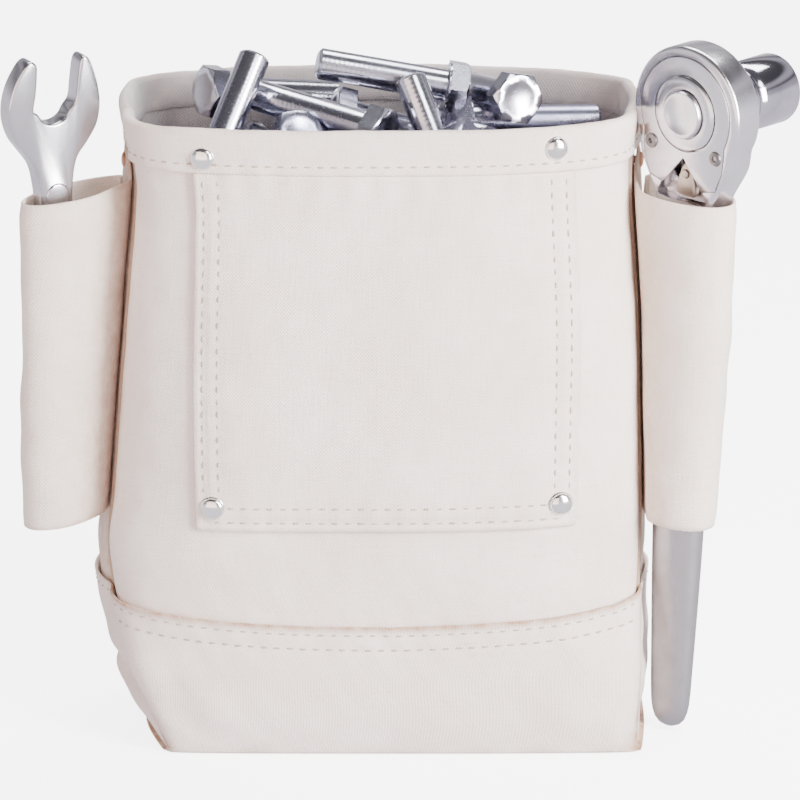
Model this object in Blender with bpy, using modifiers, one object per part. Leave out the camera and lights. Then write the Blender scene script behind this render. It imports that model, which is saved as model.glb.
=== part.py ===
"""A canvas bolt bag for a tool belt, loaded: hex bolts in the bag, an open-end wrench in its left
tool sleeve, and a ratchet with a socket in its right one.

The frame is +Z up and -Y towards the bag's front. The origin is the centre of the bag's base, on
the surface that it stands on. All sizes are in metres.
"""

import math

import bmesh
import bpy
from mathutils import Matrix, Vector

MM = 0.001

# Bag: driving dimensions
BAG_HEIGHT = 254 * MM
CLOTH = 1.4 * MM  # one ply of heavy duck canvas
PLY = 1.2 * MM  # an overlay: patch, boot, hem, sleeve
GAP = 0.8 * MM  # air left between two pieces that are sewn together
SEAM_INSET = 2.3 * MM  # how far a wall panel stops short of its seam line
WELT_RADIUS = 1.2 * MM
HEM_DEPTH = 17 * MM
BASE_LIFT = 4.2 * MM  # the walls stand on the base panel, which lies in the boot
BOOT_FRONT_HEIGHT = 53 * MM  # at the middle of the front
BOOT_SIDE_HEIGHT = 61 * MM
OVERLAY = GAP + PLY  # outer face of an overlay, from the wall's outer face
BACK_EASE = 0.3 * MM  # the boot lies this much looser on the back

# Wall sections by height: seam corners and how far each side stands out of the line between them.
# height: (left seam x, right seam x, front seam y, front depth, left bulge, right bulge,
#          back seam y, back depth)
WALL_STATIONS = {
    0: (-90, 90, -46, 3, 8, 2, 40, 3),
    14: (-96, 91, -44, 8, 11, 3, 39, 7),
    30: (-104, 92, -37, 15, 10, 3, 35, 11),
    53: (-111, 92, -25, 26, 8, 3, 30, 18),
    75: (-115, 93, -17, 34, 6, 3, 26, 23),
    101: (-113, 93, -15, 37, 4, 3, 25, 25),
    140: (-110, 92, -15, 38, 4, 3, 25, 26),
    175: (-107, 91, -15, 38, 4, 3, 25, 27),
    222: (-103, 88, -15, 36, 4, 3, 24, 27),
    237: (-104, 88, -15, 35, 3, 3, 24, 27),
    254: (-107, 89, -15, 35, 2, 2, 23, 27),
}
FRONT_SQUARENESS_LEFT = 3.4
FRONT_SQUARENESS_RIGHT = 2.5
BACK_SQUARENESS = 2.8
CURVE_STEPS = 96

# Front patch and its rivets
PATCH_U_BOTTOM = (0.223, 0.83)  # the patch's two sides, as shares of the way round the front
PATCH_U_TOP = (0.19, 0.836)
PATCH_Z = (93.5 * MM, 236.2 * MM)
PATCH_RIVETS = ((0.2085, 242.6), (0.8045, 246), (0.247, 102.6), (0.8045, 102.6))
RIVET_CAP_RADIUS = 4.8 * MM
RIVET_CAP_HEIGHT = 2.2 * MM
RIVET_SHANK_RADIUS = 1.6 * MM
BURR_RADIUS = 3.8 * MM
BURR_THICKNESS = 0.9 * MM

# Belt tunnel on the back: a loop of canvas between two riveted flanges
TUNNEL_U = (0.22, 0.78)
TUNNEL_Z = (150 * MM, 232 * MM)
TUNNEL_FLANGE = 12 * MM
TUNNEL_STANDOFF = 9 * MM
TUNNEL_RIVETS = ((0.255, 226), (0.745, 226), (0.255, 156), (0.745, 156))

# Tool sleeves: tapered tubes of cloth, turned forward from the side seams
SLEEVE_BOTTOM = 90 * MM
SLEEVE_TOP = 224 * MM
SLEEVE_FLANGE_TOP = 235.5 * MM
SLEEVE_FLANGE_BOTTOM = 84 * MM
SLEEVE_FLANGE_U = (0.48, 0.38, 0.29, 0.20)  # shares of the way round the gusset, from the front seam
SLEEVES = {
    # turn from +-X towards the front, width, half thickness, and how much lower the outer edge is
    "left": dict(
        top=dict(turn=34, width=50 * MM, half=10.5 * MM, drop=4 * MM),
        bottom=dict(turn=37, width=38 * MM, half=10.8 * MM, drop=3 * MM),
        fullness=1.1,
    ),
    "right": dict(
        top=dict(turn=44, width=50 * MM, half=14.5 * MM, drop=3 * MM),
        bottom=dict(turn=50, width=37 * MM, half=12.5 * MM, drop=2 * MM),
        fullness=1.0,
    ),
}
SLEEVE_CLEARANCE = 3.4 * MM  # keeps the loop off the seam's piping
SEAM_RIVET_Z = (229, 89)

# Wrench: 3/4 inch combination wrench. Its frame stands in the middle of the open jaw.
WRENCH_JAW = Vector((-136.2, -28.5, 257.4)) * MM
WRENCH_END = Vector((-133.5, -19.5, 95)) * MM
WRENCH_TURN = 30  # its face looks this far to the right of the front
WRENCH_BOX_Z = -141 * MM
WRENCH_BOX_RADIUS = 12.3 * MM
WRENCH_BOSS = 4.6 * MM  # half the thickness of the box end
WRENCH_THICKNESS = 8.4 * MM
HEX_FLATS = 19 * MM  # jaw, box, socket and bolt heads

# Ratchet: 1/2 inch drive. Its frame stands in the middle of the round head.
RATCHET_HEAD = Vector((113.8, -28.5, 256.6)) * MM
RATCHET_END = Vector((105.9, -20.5, 1.5)) * MM
RATCHET_TURN = -43
HEAD_RADIUS = 26.5 * MM
HEAD_THICKNESS = 14 * MM
GEAR_RADIUS = 16.9 * MM
DRIVE_SQUARE = 12.7 * MM
SELECTOR_Z = -24.8 * MM  # the selector's pivot, below the drive's axis
SOCKET_LENGTH = 37 * MM
SLACK = 0.4 * MM  # running clearance

# Bolts: 1/2 inch hex bolts, 2 inches long
BOLT_RADIUS = 6.2 * MM
BOLT_LENGTH = 52 * MM
HEX_HEIGHT = 8 * MM
# Each loose bolt: where its head seats on the shank, and which way its thread points
LOOSE_BOLTS = (
    ((-75.7, -28, 231), (0.36, 0.50, 0.79)),
    ((17, 7, 257), (-0.975, -0.1, 0.2)),
    ((21, -29.7, 221.2), (-0.356, 0.418, 0.837)),
    ((-13, -24, 248), (-0.85, 0.50, 0.125)),
    ((-71, 14, 252.5), (0.86, 0.47, -0.163)),
    ((-20, 1.5, 246), (0.95, 0.116, -0.29)),
    ((42, -3, 255), (-0.44, 0.89, -0.137)),
    ((70.4, -14, 231), (-0.97, 0.097, 0.22)),
    ((73, 16, 229), (-0.98, 0.12, 0.154)),
    ((-88, -2, 226), (0.6, 0.8, 0.04)),
    ((-50, -32, 233), (0.98, -0.077, -0.135)),
)
HEAP_TOP = 206 * MM


# ------------------------------------------------------------------ scene, materials, helpers


def clear_scene():
    for obj in list(bpy.data.objects):
        bpy.data.objects.remove(obj, do_unlink=True)


def collection(name):
    made = bpy.data.collections.new(name)
    bpy.context.scene.collection.children.link(made)
    return made


def material(name, colour, roughness, metallic=0.0):
    made = bpy.data.materials.new(name)
    made.use_nodes = True
    shader = made.node_tree.nodes["Principled BSDF"]
    shader.inputs["Base Color"].default_value = (*colour, 1.0)
    shader.inputs["Roughness"].default_value = roughness
    shader.inputs["Metallic"].default_value = metallic
    return made


def smooth_shade(mesh, sharp_degrees=35):
    mesh.shade_smooth()
    mesh.set_sharp_from_angle(angle=math.radians(sharp_degrees))


def add_object(name, mesh, finish, parent=None, matrix=None):
    """A node of the object. With a parent, matrix places it in the parent's space."""
    obj = bpy.data.objects.new(name, mesh)
    PARTS.objects.link(obj)
    if finish is not None and not mesh.materials:
        mesh.materials.append(finish)
    obj.parent = parent
    if matrix is not None:
        obj.matrix_local = matrix
    return obj


def add_frame(name, matrix):
    """An empty that carries the pieces of a tool."""
    obj = bpy.data.objects.new(name, None)
    PARTS.objects.link(obj)
    obj.matrix_world = matrix
    return obj


def as_cutter(obj):
    obj.hide_render = True
    obj.display_type = "WIRE"
    for owner in list(obj.users_collection):
        owner.objects.unlink(obj)
    CUTTERS.objects.link(obj)
    return obj


def boolean(obj, other, operation="DIFFERENCE"):
    modifier = obj.modifiers.new(operation.lower() + "_" + other.name, "BOOLEAN")
    modifier.operation = operation
    modifier.object = other
    modifier.solver = "EXACT"
    return modifier


def frozen_mesh(obj, sharp_degrees=35):
    """The object's evaluated mesh as a mesh of its own. The object is removed."""
    bpy.context.view_layer.update()
    graph = bpy.context.evaluated_depsgraph_get()
    mesh = bpy.data.meshes.new_from_object(obj.evaluated_get(graph))
    bpy.data.objects.remove(obj, do_unlink=True)
    smooth_shade(mesh, sharp_degrees)
    return mesh


def prism_mesh(name, radius, depth, sides=24, matrix=None, radius_top=None, turn=0.0):
    """A cylinder, cone frustum or regular prism about local Z, centred on the origin."""
    bm = bmesh.new()
    bmesh.ops.create_cone(
        bm,
        cap_ends=True,
        segments=sides,
        radius1=radius,
        radius2=radius if radius_top is None else radius_top,
        depth=depth,
        matrix=(matrix or Matrix.Identity(4)) @ Matrix.Rotation(turn, 4, "Z"),
    )
    mesh = bpy.data.meshes.new(name)
    bm.to_mesh(mesh)
    bm.free()
    smooth_shade(mesh)
    return mesh


def along(direction, origin=Vector((0, 0, 0)), roll=0.0):
    """A matrix that takes local +Z to the direction, at the origin."""
    turn = Vector(direction).to_track_quat("Z", "Y").to_matrix().to_4x4()
    return Matrix.Translation(origin) @ turn @ Matrix.Rotation(roll, 4, "Z")


def turned_mesh(name, profile, steps=16):
    """A turned solid about Z. The profile is (radius, height) from the top down its outer side."""
    mesh = bpy.data.meshes.new(name)
    points = [(r, 0.0, z) for r, z in profile]
    mesh.from_pydata(points, [(i, i + 1) for i in range(len(points) - 1)], [])
    obj = bpy.data.objects.new(name, mesh)
    bpy.context.scene.collection.objects.link(obj)
    screw = obj.modifiers.new("turn", "SCREW")
    screw.steps = steps
    screw.render_steps = steps
    screw.use_merge_vertices = True
    screw.merge_threshold = 0.00001
    return frozen_mesh(obj)


def outline_mesh(name, outline, thickness, bevel=0.0, bevel_segments=2):
    """A flat plate from an outline in local XZ, centred on local Y = 0, with its rim edges rounded."""
    bm = bmesh.new()
    face = bm.faces.new([bm.verts.new((x, 0.0, z)) for x, z in outline])
    bm.normal_update()
    if face.normal.y > 0:
        face.normal_flip()
    mesh = bpy.data.meshes.new(name)
    bm.to_mesh(mesh)
    bm.free()
    obj = bpy.data.objects.new(name, mesh)
    bpy.context.scene.collection.objects.link(obj)
    solid = obj.modifiers.new("thickness", "SOLIDIFY")
    solid.thickness = thickness
    solid.offset = 0.0
    if bevel:
        rim = obj.modifiers.new("rim", "BEVEL")
        rim.width = bevel
        rim.segments = bevel_segments
        rim.limit_method = "ANGLE"
        rim.angle_limit = math.radians(60)
    return frozen_mesh(obj)


def arc(centre, radius, start, end, count):
    """Points on an arc in a plane, from one angle to another in degrees, both ends included."""
    angles = [math.radians(start + (end - start) * i / (count - 1)) for i in range(count)]
    return [(centre[0] + radius * math.cos(a), centre[1] + radius * math.sin(a)) for a in angles]


# ------------------------------------------------------------------ the bag's walls


def wall_values(z):
    """The wall stations interpolated at a height in metres, by a smooth cubic, in metres."""
    heights = sorted(WALL_STATIONS)
    h = min(max(z / MM, heights[0]), heights[-1])
    i = max(k for k in range(len(heights) - 1) if heights[k] <= h)
    low, high = heights[i], heights[i + 1]
    before, after = heights[max(i - 1, 0)], heights[min(i + 2, len(heights) - 1)]
    t = (h - low) / (high - low)
    values = []
    for column in range(8):
        a, b = WALL_STATIONS[low][column], WALL_STATIONS[high][column]
        slope_a = (b - WALL_STATIONS[before][column]) / (high - before) * (high - low)
        slope_b = (WALL_STATIONS[after][column] - a) / (after - low) * (high - low)
        value = (
            (2 * t**3 - 3 * t**2 + 1) * a
            + (t**3 - 2 * t**2 + t) * slope_a
            + (3 * t**2 - 2 * t**3) * b
            + (t**3 - t**2) * slope_b
        )
        values.append(value * MM)
    return values


def wall_curve(side, z):
    """One side's outer line at a height, as plan points that run counter-clockwise from above."""
    left, right, front_y, front_depth, left_bulge, right_bulge, back_y, back_depth = wall_values(z)
    points = []
    for i in range(CURVE_STEPS + 1):
        share = i / CURVE_STEPS
        if side in ("front", "back"):
            first, last = (left, right) if side == "front" else (right, left)
            squareness = BACK_SQUARENESS
            if side == "front":
                squareness = FRONT_SQUARENESS_LEFT if share < 0.5 else FRONT_SQUARENESS_RIGHT
            angle = math.pi * share
            across = math.copysign(abs(math.cos(angle)) ** (2 / squareness), math.cos(angle))
            out = abs(math.sin(angle)) ** (2 / squareness)
            x = (first + last) / 2 + (first - last) / 2 * across
            y = front_y - front_depth * out if side == "front" else back_y + back_depth * out
        else:
            bulge = right_bulge if side == "right" else -left_bulge
            x = (right if side == "right" else left) + bulge * math.sin(math.pi * share)
            y = front_y + (back_y - front_y) * (share if side == "right" else 1 - share)
        points.append(Vector((x, y)))
    return points


_lines = {}


def wall_line(side, z):
    """wall_curve with the running length at each point, kept for reuse."""
    key = (side, round(z, 6))
    if key not in _lines:
        points = wall_curve(side, z)
        lengths = [0.0]
        for a, b in zip(points, points[1:]):
            lengths.append(lengths[-1] + (b - a).length)
        _lines[key] = (points, lengths)
    return _lines[key]


def wall_plan(side, u, z):
    """(plan point, outward plan normal) a share u of the way along one side at a height."""
    points, lengths = wall_line(side, z)
    target = min(max(u, 0.0), 1.0) * lengths[-1]
    i = max(k for k in range(len(points) - 1) if lengths[k] <= target + 1e-12)
    step = (target - lengths[i]) / max(lengths[i + 1] - lengths[i], 1e-12)
    point = points[i].lerp(points[i + 1], step)
    reach = 3
    tangent = points[min(i + 1 + reach, len(points) - 1)] - points[max(i - reach, 0)]
    tangent.normalize()
    return point, Vector((tangent.y, -tangent.x))


def wall_point(side, u, z, offset=0.0):
    point, normal = wall_plan(side, u, z)
    point = point + normal * offset
    return Vector((point.x, point.y, z))


def inset_share(side, z, inset=SEAM_INSET):
    return inset / wall_line(side, z)[1][-1]


def spread(start, end, count):
    return [start + (end - start) * i / count for i in range(count + 1)]


def patch_edges(z):
    """The shares of the way round the front at which the patch's two sides lie, at a height."""
    t = min(max((z - PATCH_Z[0]) / (PATCH_Z[1] - PATCH_Z[0]), 0.0), 1.0)
    return [low + (high - low) * t for low, high in zip(PATCH_U_BOTTOM, PATCH_U_TOP)]


def columns(side, z):
    """Column shares of one side at a height. The front and the back have lines on the edges of
    their overlays, so that the plies stay parallel."""
    if side in ("left", "right"):
        return spread(0, 1, 5)
    first, last = patch_edges(z) if side == "front" else TUNNEL_U
    return spread(0, first, 4)[:-1] + spread(first, last, 6)[:-1] + spread(last, 1, 4)


def grid_mesh(name, rows, thickness, closed=False):
    """An open sheet through rows of points, thickened inwards from its outer face."""
    bm = bmesh.new()
    verts = [[bm.verts.new(p) for p in row] for row in rows]
    for lower, upper in zip(verts, verts[1:]):
        count = len(lower)
        for i in range(count if closed else count - 1):
            j = (i + 1) % count
            bm.faces.new((lower[i], lower[j], upper[j], upper[i]))
    mesh = bpy.data.meshes.new(name)
    bm.to_mesh(mesh)
    bm.free()
    obj = bpy.data.objects.new(name, mesh)
    bpy.context.scene.collection.objects.link(obj)
    solid = obj.modifiers.new("cloth", "SOLIDIFY")
    solid.thickness = thickness
    solid.offset = -1.0
    solid.use_even_offset = True
    return frozen_mesh(obj)


def seam_clear(side, shares, z):
    """Column shares squeezed so that the outermost stop short of the seam lines."""
    edge = inset_share(side, z)
    return [min(max(u, edge), 1 - edge) for u in shares]


def wall_rows(side, heights, offset=0.0):
    rows = []
    for z in heights:
        shares = seam_clear(side, columns(side, z), z)
        rows.append([wall_point(side, u, z, offset) for u in shares])
    return rows


PANEL_HEIGHTS = [BASE_LIFT] + [h * MM for h in (14, 30, 45, 60, 75, 101, 140, 175, 222, 237, 254)]


def make_wall_panels():
    for side, name in (
        ("front", "front_panel"),
        ("back", "back_panel"),
        ("left", "left_gusset"),
        ("right", "right_gusset"),
    ):
        add_object(name, grid_mesh(name, wall_rows(side, PANEL_HEIGHTS), CLOTH), CANVAS)


def base_point(u, v, inset, z):
    """A point of the base: u runs left to right and v front to back, and the sides bulge."""
    front = wall_point("front", u, 0.0, -inset)
    back = wall_point("back", 1 - u, 0.0, -inset)
    _, _, _, _, left_bulge, right_bulge, _, _ = wall_values(0.0)
    point = front.lerp(back, v)
    swell = math.sin(math.pi * v)
    point.x += swell * (u * (right_bulge) - (1 - u) * (left_bulge))
    point.x += inset * ((1 - u) ** 8 - u**8)
    point.z = z
    return point


def make_base_panel():
    top = 3.5 * MM
    shares = columns("front", 0.0)
    rows = [[base_point(u, v, 1.0 * MM, top) for u in shares] for v in spread(0, 1, 4)]
    add_object("base_panel", grid_mesh("base_panel", rows, PLY), CANVAS)


def boot_height(u):
    """The boot's top edge dips towards the middle of the front and of the back."""
    rise = BOOT_SIDE_HEIGHT - BOOT_FRONT_HEIGHT
    return BOOT_FRONT_HEIGHT + rise * (2 * u - 1) ** 2


def make_boot():
    """The second ply round the base: one strip up the front and the back, and two side pieces."""
    levels = (1.0, 0.8, 0.53, 0.25, 0.07)
    shares = columns("front", 0.0)
    rows = []
    for level in levels:
        row = []
        for u in shares:
            z = boot_height(u) * level
            edge = inset_share("front", z)
            row.append(wall_point("front", min(max(u, edge), 1 - edge), z, OVERLAY))
        rows.append(row)
    for v in spread(0, 1, 4):
        row = []
        for u in shares:
            point = base_point(u, v, -OVERLAY, 0.0)
            row.append(point)
        rows.append(row)
    for level in reversed(levels):
        row = []
        for u in shares:
            z = boot_height(u) * level
            edge = inset_share("back", z)
            row.append(wall_point("back", min(max(1 - u, edge), 1 - edge), z, OVERLAY + BACK_EASE))
        rows.append(row)
    rows.reverse()
    add_object("boot_wrap", grid_mesh("boot_wrap", rows, PLY), CANVAS)
    heights = [PLY + GAP] + [h * MM for h in (8, 14, 30, 45)] + [BOOT_SIDE_HEIGHT]
    for side in ("left", "right"):
        name = "boot_" + side
        add_object(name, grid_mesh(name, wall_rows(side, heights, OVERLAY), PLY), CANVAS)


def make_hem():
    """The turned-over top edge, one ring round the four sides."""
    rows = []
    for z in (BAG_HEIGHT - HEM_DEPTH, BAG_HEIGHT - HEM_DEPTH / 2, BAG_HEIGHT):
        row = []
        for side in ("front", "right", "back", "left"):
            row += [wall_point(side, u, z, OVERLAY) for u in columns(side, z)[:-1]]
        rows.append(row)
    add_object("rim_hem", grid_mesh("rim_hem", rows, PLY, closed=True), CANVAS)


def make_patch():
    heights = [PATCH_Z[0]] + [h * MM for h in (101, 140, 175, 222)] + [PATCH_Z[1]]
    rows = [[wall_point("front", u, z, OVERLAY) for u in spread(*patch_edges(z), 6)] for z in heights]
    add_object("front_patch", grid_mesh("front_patch", rows, PLY), CANVAS)


def tunnel_standoff(z):
    """How far the belt tunnel stands off the back, zero along its two sewn flanges."""
    low, high = TUNNEL_Z[0] + TUNNEL_FLANGE, TUNNEL_Z[1] - TUNNEL_FLANGE
    if z <= low or z >= high:
        return 0.0
    return TUNNEL_STANDOFF * math.sin(math.pi * (z - low) / (high - low)) ** 0.6


def make_belt_tunnel():
    low, high = TUNNEL_Z
    inner = spread(low + TUNNEL_FLANGE, high - TUNNEL_FLANGE, 8)
    heights = [low, *inner, high]
    rows = []
    for z in heights:
        offset = OVERLAY + tunnel_standoff(z)
        rows.append([wall_point("back", u, z, offset) for u in spread(*TUNNEL_U, 6)])
    add_object("belt_tunnel", grid_mesh("belt_tunnel", rows, PLY), CANVAS)


def make_welts():
    """Piping in the four upright seams, from the base to the hem."""
    bottom, top = 5.0 * MM, BAG_HEIGHT - HEM_DEPTH - 1.0 * MM
    for name, side, u in (
        ("welt_front_left", "front", 0.0),
        ("welt_front_right", "front", 1.0),
        ("welt_back_left", "back", 1.0),
        ("welt_back_right", "back", 0.0),
    ):
        curve = bpy.data.curves.new(name, "CURVE")
        curve.dimensions = "3D"
        curve.bevel_depth = WELT_RADIUS
        curve.bevel_resolution = 1
        curve.use_fill_caps = True
        spline = curve.splines.new("POLY")
        heights = [bottom] + [z for z in PANEL_HEIGHTS if bottom < z < top] + [top]
        spline.points.add(len(heights) - 1)
        for point, z in zip(spline.points, heights):
            point.co = (*wall_point(side, u, z), 1.0)
        obj = bpy.data.objects.new(name, curve)
        curve.materials.append(WEBBING)
        PARTS.objects.link(obj)


# ------------------------------------------------------------------ rivets


def rivet_mesh(name, cap_radius, cap_height, outer, inner):
    """A cap outside the cloth, a shank through it and a burr inside, turned as one solid."""
    burr_bottom = inner - BURR_THICKNESS
    profile = [
        (0.0, outer + cap_height),
        (cap_radius * 0.6, outer + cap_height * 0.82),
        (cap_radius, outer + cap_height * 0.2),
        (cap_radius * 0.94, outer),
        (RIVET_SHANK_RADIUS, outer),
        (RIVET_SHANK_RADIUS, inner),
        (BURR_RADIUS, inner),
        (BURR_RADIUS, burr_bottom),
        (0.0, burr_bottom),
    ]
    return turned_mesh(name, profile, steps=10)


def wall_axis(side, u, z):
    """A matrix whose +Z is the wall's outward normal at a point of its outer face."""
    point, normal = wall_plan(side, u, z)
    return along((normal.x, normal.y, 0.0), Vector((point.x, point.y, z)))


def cut_rivet_hole(names, matrix, tag):
    cutter = bpy.data.objects.new(
        "cut_" + tag, prism_mesh("cut_" + tag, RIVET_SHANK_RADIUS + 0.4 * MM, 30 * MM, sides=8)
    )
    bpy.context.scene.collection.objects.link(cutter)
    cutter.matrix_world = matrix
    as_cutter(cutter)
    for name in names:
        boolean(bpy.data.objects[name], cutter)


def make_rivets():
    outer, inner = OVERLAY + 0.6 * MM, -CLOTH - 1.0 * MM
    cap = rivet_mesh("rivet", RIVET_CAP_RADIUS, RIVET_CAP_HEIGHT, outer, inner)
    for i, (u, height) in enumerate(PATCH_RIVETS):
        name = "patch_rivet_" + ("top_left", "top_right", "bottom_left", "bottom_right")[i]
        matrix = wall_axis("front", u, height * MM)
        add_object(name, cap, STEEL_PLATED, matrix=matrix)
        cut_rivet_hole(["front_panel", "rim_hem" if i < 2 else "front_patch"], matrix, name)
    for i, (u, height) in enumerate(TUNNEL_RIVETS):
        name = "tunnel_rivet_" + ("top_right", "top_left", "bottom_right", "bottom_left")[i]
        matrix = wall_axis("back", u, height * MM)
        add_object(name, cap, STEEL_PLATED, matrix=matrix)
        cut_rivet_hole(["back_panel", "belt_tunnel"], matrix, name)
    small = rivet_mesh("seam_rivet", 3.4 * MM, 1.3 * MM, outer + 0.3 * MM, inner)
    small.materials.append(COPPER)
    for side in ("left", "right"):
        for place, height in zip(("top", "bottom"), SEAM_RIVET_Z):
            name = f"seam_rivet_{side}_{place}"
            u = SLEEVE_FLANGE_U[1]
            matrix = wall_axis(side, u if side == "right" else 1 - u, height * MM)
            add_object(name, small, COPPER, matrix=matrix)
            cut_rivet_hole([side + "_gusset", side + "_sleeve"], matrix, name)


# ------------------------------------------------------------------ tool sleeves


def sleeve_outline(side, share):
    """The sleeve cloth's outer line at a share of its height, bottom to top: a flange on the
    gusset, then a loop out to the front and back. Each point is (plan point, how much lower)."""
    spec = SLEEVES[side]
    low, high = spec["bottom"], spec["top"]
    turn, width, half, drop = (
        low[key] + (high[key] - low[key]) * share for key in ("turn", "width", "half", "drop")
    )
    z = SLEEVE_BOTTOM + (SLEEVE_TOP - SLEEVE_BOTTOM) * share
    sign = 1 if side == "right" else -1
    nearest = abs(wall_values(z)[1 if side == "right" else 0]) + SLEEVE_CLEARANCE
    turn = math.radians(turn)
    out = Vector((sign * math.cos(turn), -math.sin(turn)))
    across = Vector((sign * math.sin(turn), math.cos(turn)))  # towards the back
    line = []
    for u in SLEEVE_FLANGE_U:
        line.append((wall_point(side, u if side == "right" else 1 - u, z, OVERLAY).to_2d(), 0.0))
    root = line.pop()[0]
    line.append((root - across * (0.4 * MM), 0.0))
    count = 16
    for i in range(1, count - 1):
        angle = 2 * math.pi * i / count
        reach = (1 - math.cos(angle)) / 2
        belly = math.sin(math.pi * reach ** spec["fullness"]) ** 0.47
        face = -1 if angle <= math.pi else 1
        point = root + out * (width * reach) + across * (half * belly * face)
        point.x = sign * max(abs(point.x), nearest)
        line.append((point, drop * reach))
    line.append((root + across * (PLY + GAP * 1.2) + out * (3.0 * MM), 0.0))
    return line


def make_sleeves():
    for side in ("left", "right"):
        rows = []
        for share in spread(0, 1, 5):
            middle = SLEEVE_BOTTOM + (SLEEVE_TOP - SLEEVE_BOTTOM) * share
            flange = SLEEVE_FLANGE_BOTTOM + (SLEEVE_FLANGE_TOP - SLEEVE_FLANGE_BOTTOM) * share
            row = []
            for i, (point, drop) in enumerate(sleeve_outline(side, share)):
                blend = (1.0, 1.0, 0.7, 0.35)[i] if i < 4 else 0.0
                row.append(Vector((point.x, point.y, middle + (flange - middle) * blend - drop)))
            rows.append(row)
        if side == "right":
            rows.reverse()
        name = side + "_sleeve"
        add_object(name, grid_mesh(name, rows, PLY), CANVAS)


# ------------------------------------------------------------------ tools


def tool_matrix(head, end, turn):
    """A frame in a tool's head: local Z away from its handle's end, local -Y out of its face."""
    up = (head - end).normalized()
    face = Vector((math.sin(math.radians(turn)), -math.cos(math.radians(turn)), 0.0))
    back = (-face - up * up.dot(-face)).normalized()
    across = back.cross(up)
    rows = ((across.x, back.x, up.x), (across.y, back.y, up.y), (across.z, back.z, up.z))
    return Matrix.Translation(head) @ Matrix(rows).to_4x4()


TO_FACE = Matrix.Rotation(math.radians(90), 4, "X")  # takes local +Z to a tool's face, -Y


def scene_object(name, mesh):
    obj = bpy.data.objects.new(name, mesh)
    bpy.context.scene.collection.objects.link(obj)
    return obj


def cut(obj, name, mesh):
    """Cuts a mesh that lies in the object's own space out of the object."""
    cutter = as_cutter(scene_object("cut_" + name, mesh))
    cutter.matrix_world = obj.matrix_world
    boolean(obj, cutter)


def face_cylinder(name, radius, front, back, sides=24, x=0.0, z=0.0, turn=0.0):
    """A cylinder about a line along Y, from y = front to y = back."""
    place = Matrix.Translation((x, (front + back) / 2, z)) @ TO_FACE
    return prism_mesh(name, radius, back - front, sides, matrix=place, turn=turn)


def joined(name, *meshes):
    """Meshes that clearly overlap, united into one."""
    obj = scene_object(name, meshes[0])
    others = []
    for i, mesh in enumerate(meshes[1:]):
        other = scene_object(f"{name}_{i}", mesh)
        others.append(other)
        boolean(obj, other, "UNION")
    mesh = frozen_mesh(obj)
    for other in others:
        bpy.data.objects.remove(other, do_unlink=True)
    return mesh


def moved(mesh, matrix):
    mesh.transform(matrix)
    return mesh


def make_wrench():
    half = HEX_FLATS / 2 / MM
    outline = [(-6.6, -40), (-7.4, -30), (-9.2, -22), (-13.4, -15.5), (-17.4, -9.5), (-19.6, -2)]
    outline += [(-19.4, 5), (-17.2, 12), (-13.6, 17.8), (-11.4, 20.3), (-9.2, 21.2), (-7.2, 20)]
    outline += [(2.9 - half, 18), (2.0 - half, 8), (0.8 - half, 1)]
    outline += arc((0.0, 1.8), 7.2, 200, 340, 6)
    outline += [(half - 0.2, 2.4), (half + 0.9, 9), (half + 2.2, 16.8), (12.9, 19.3)]
    outline += [(14.6, 19.6), (16.1, 18), (18, 12.8), (19.6, 6), (20, -1), (18.4, -8.5)]
    outline += [(14, -15), (9.5, -20.5), (7.5, -28), (6.6, -40)]
    neck = math.degrees(math.asin(6.0 * MM / WRENCH_BOX_RADIUS))
    ring = arc((0, WRENCH_BOX_Z / MM), WRENCH_BOX_RADIUS / MM, 90 - neck, -270 + neck, 18)
    outline += [(6.0, -100)] + ring + [(-6.0, -100)]
    plate = outline_mesh(
        "wrench_plate", [(x * MM, z * MM) for x, z in outline], WRENCH_THICKNESS, 1.2 * MM, 1
    )
    boss = face_cylinder(
        "box_boss", WRENCH_BOX_RADIUS - 0.6 * MM, -WRENCH_BOSS, WRENCH_BOSS, 20, z=WRENCH_BOX_Z
    )
    frame = tool_matrix(WRENCH_JAW, WRENCH_END, WRENCH_TURN)
    wrench = add_object("wrench", joined("wrench", plate, boss), CHROME, matrix=frame)
    bpy.context.view_layer.update()
    bore = face_cylinder("box_bore", 0.53 * HEX_FLATS, -20 * MM, 20 * MM, 12, z=WRENCH_BOX_Z)
    cut(wrench, "box_bore", bore)


def handle_profile():
    """Half width and height down the ratchet's handle, in its own frame."""
    profile = [(0, -38), (6, -38.4), (8, -44), (7.6, -75), (8.4, -105), (10.2, -128), (11.4, -146)]
    profile += [(11.5, -170), (10.4, -205), (9.0, -240), (7.9, -249), (5, -253.6), (0, -255.2)]
    return [(r * MM, z * MM) for r, z in profile]


def cover_outline(grow=0.0):
    line = arc((0, 0), 22.3 + grow, -25, 205, 15)
    line += [(-19.6 - grow, -20), (-16.6 - grow, -27.6 - grow), (-9.8 + grow, -29.6 - grow)]
    line += [(0, -17.8 + grow * -1.5), (9.8 - grow, -29.6 - grow)]
    line += [(16.6 + grow, -27.6 - grow), (19.6 + grow, -20)]
    return [(x * MM, z * MM) for x, z in line]


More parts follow.
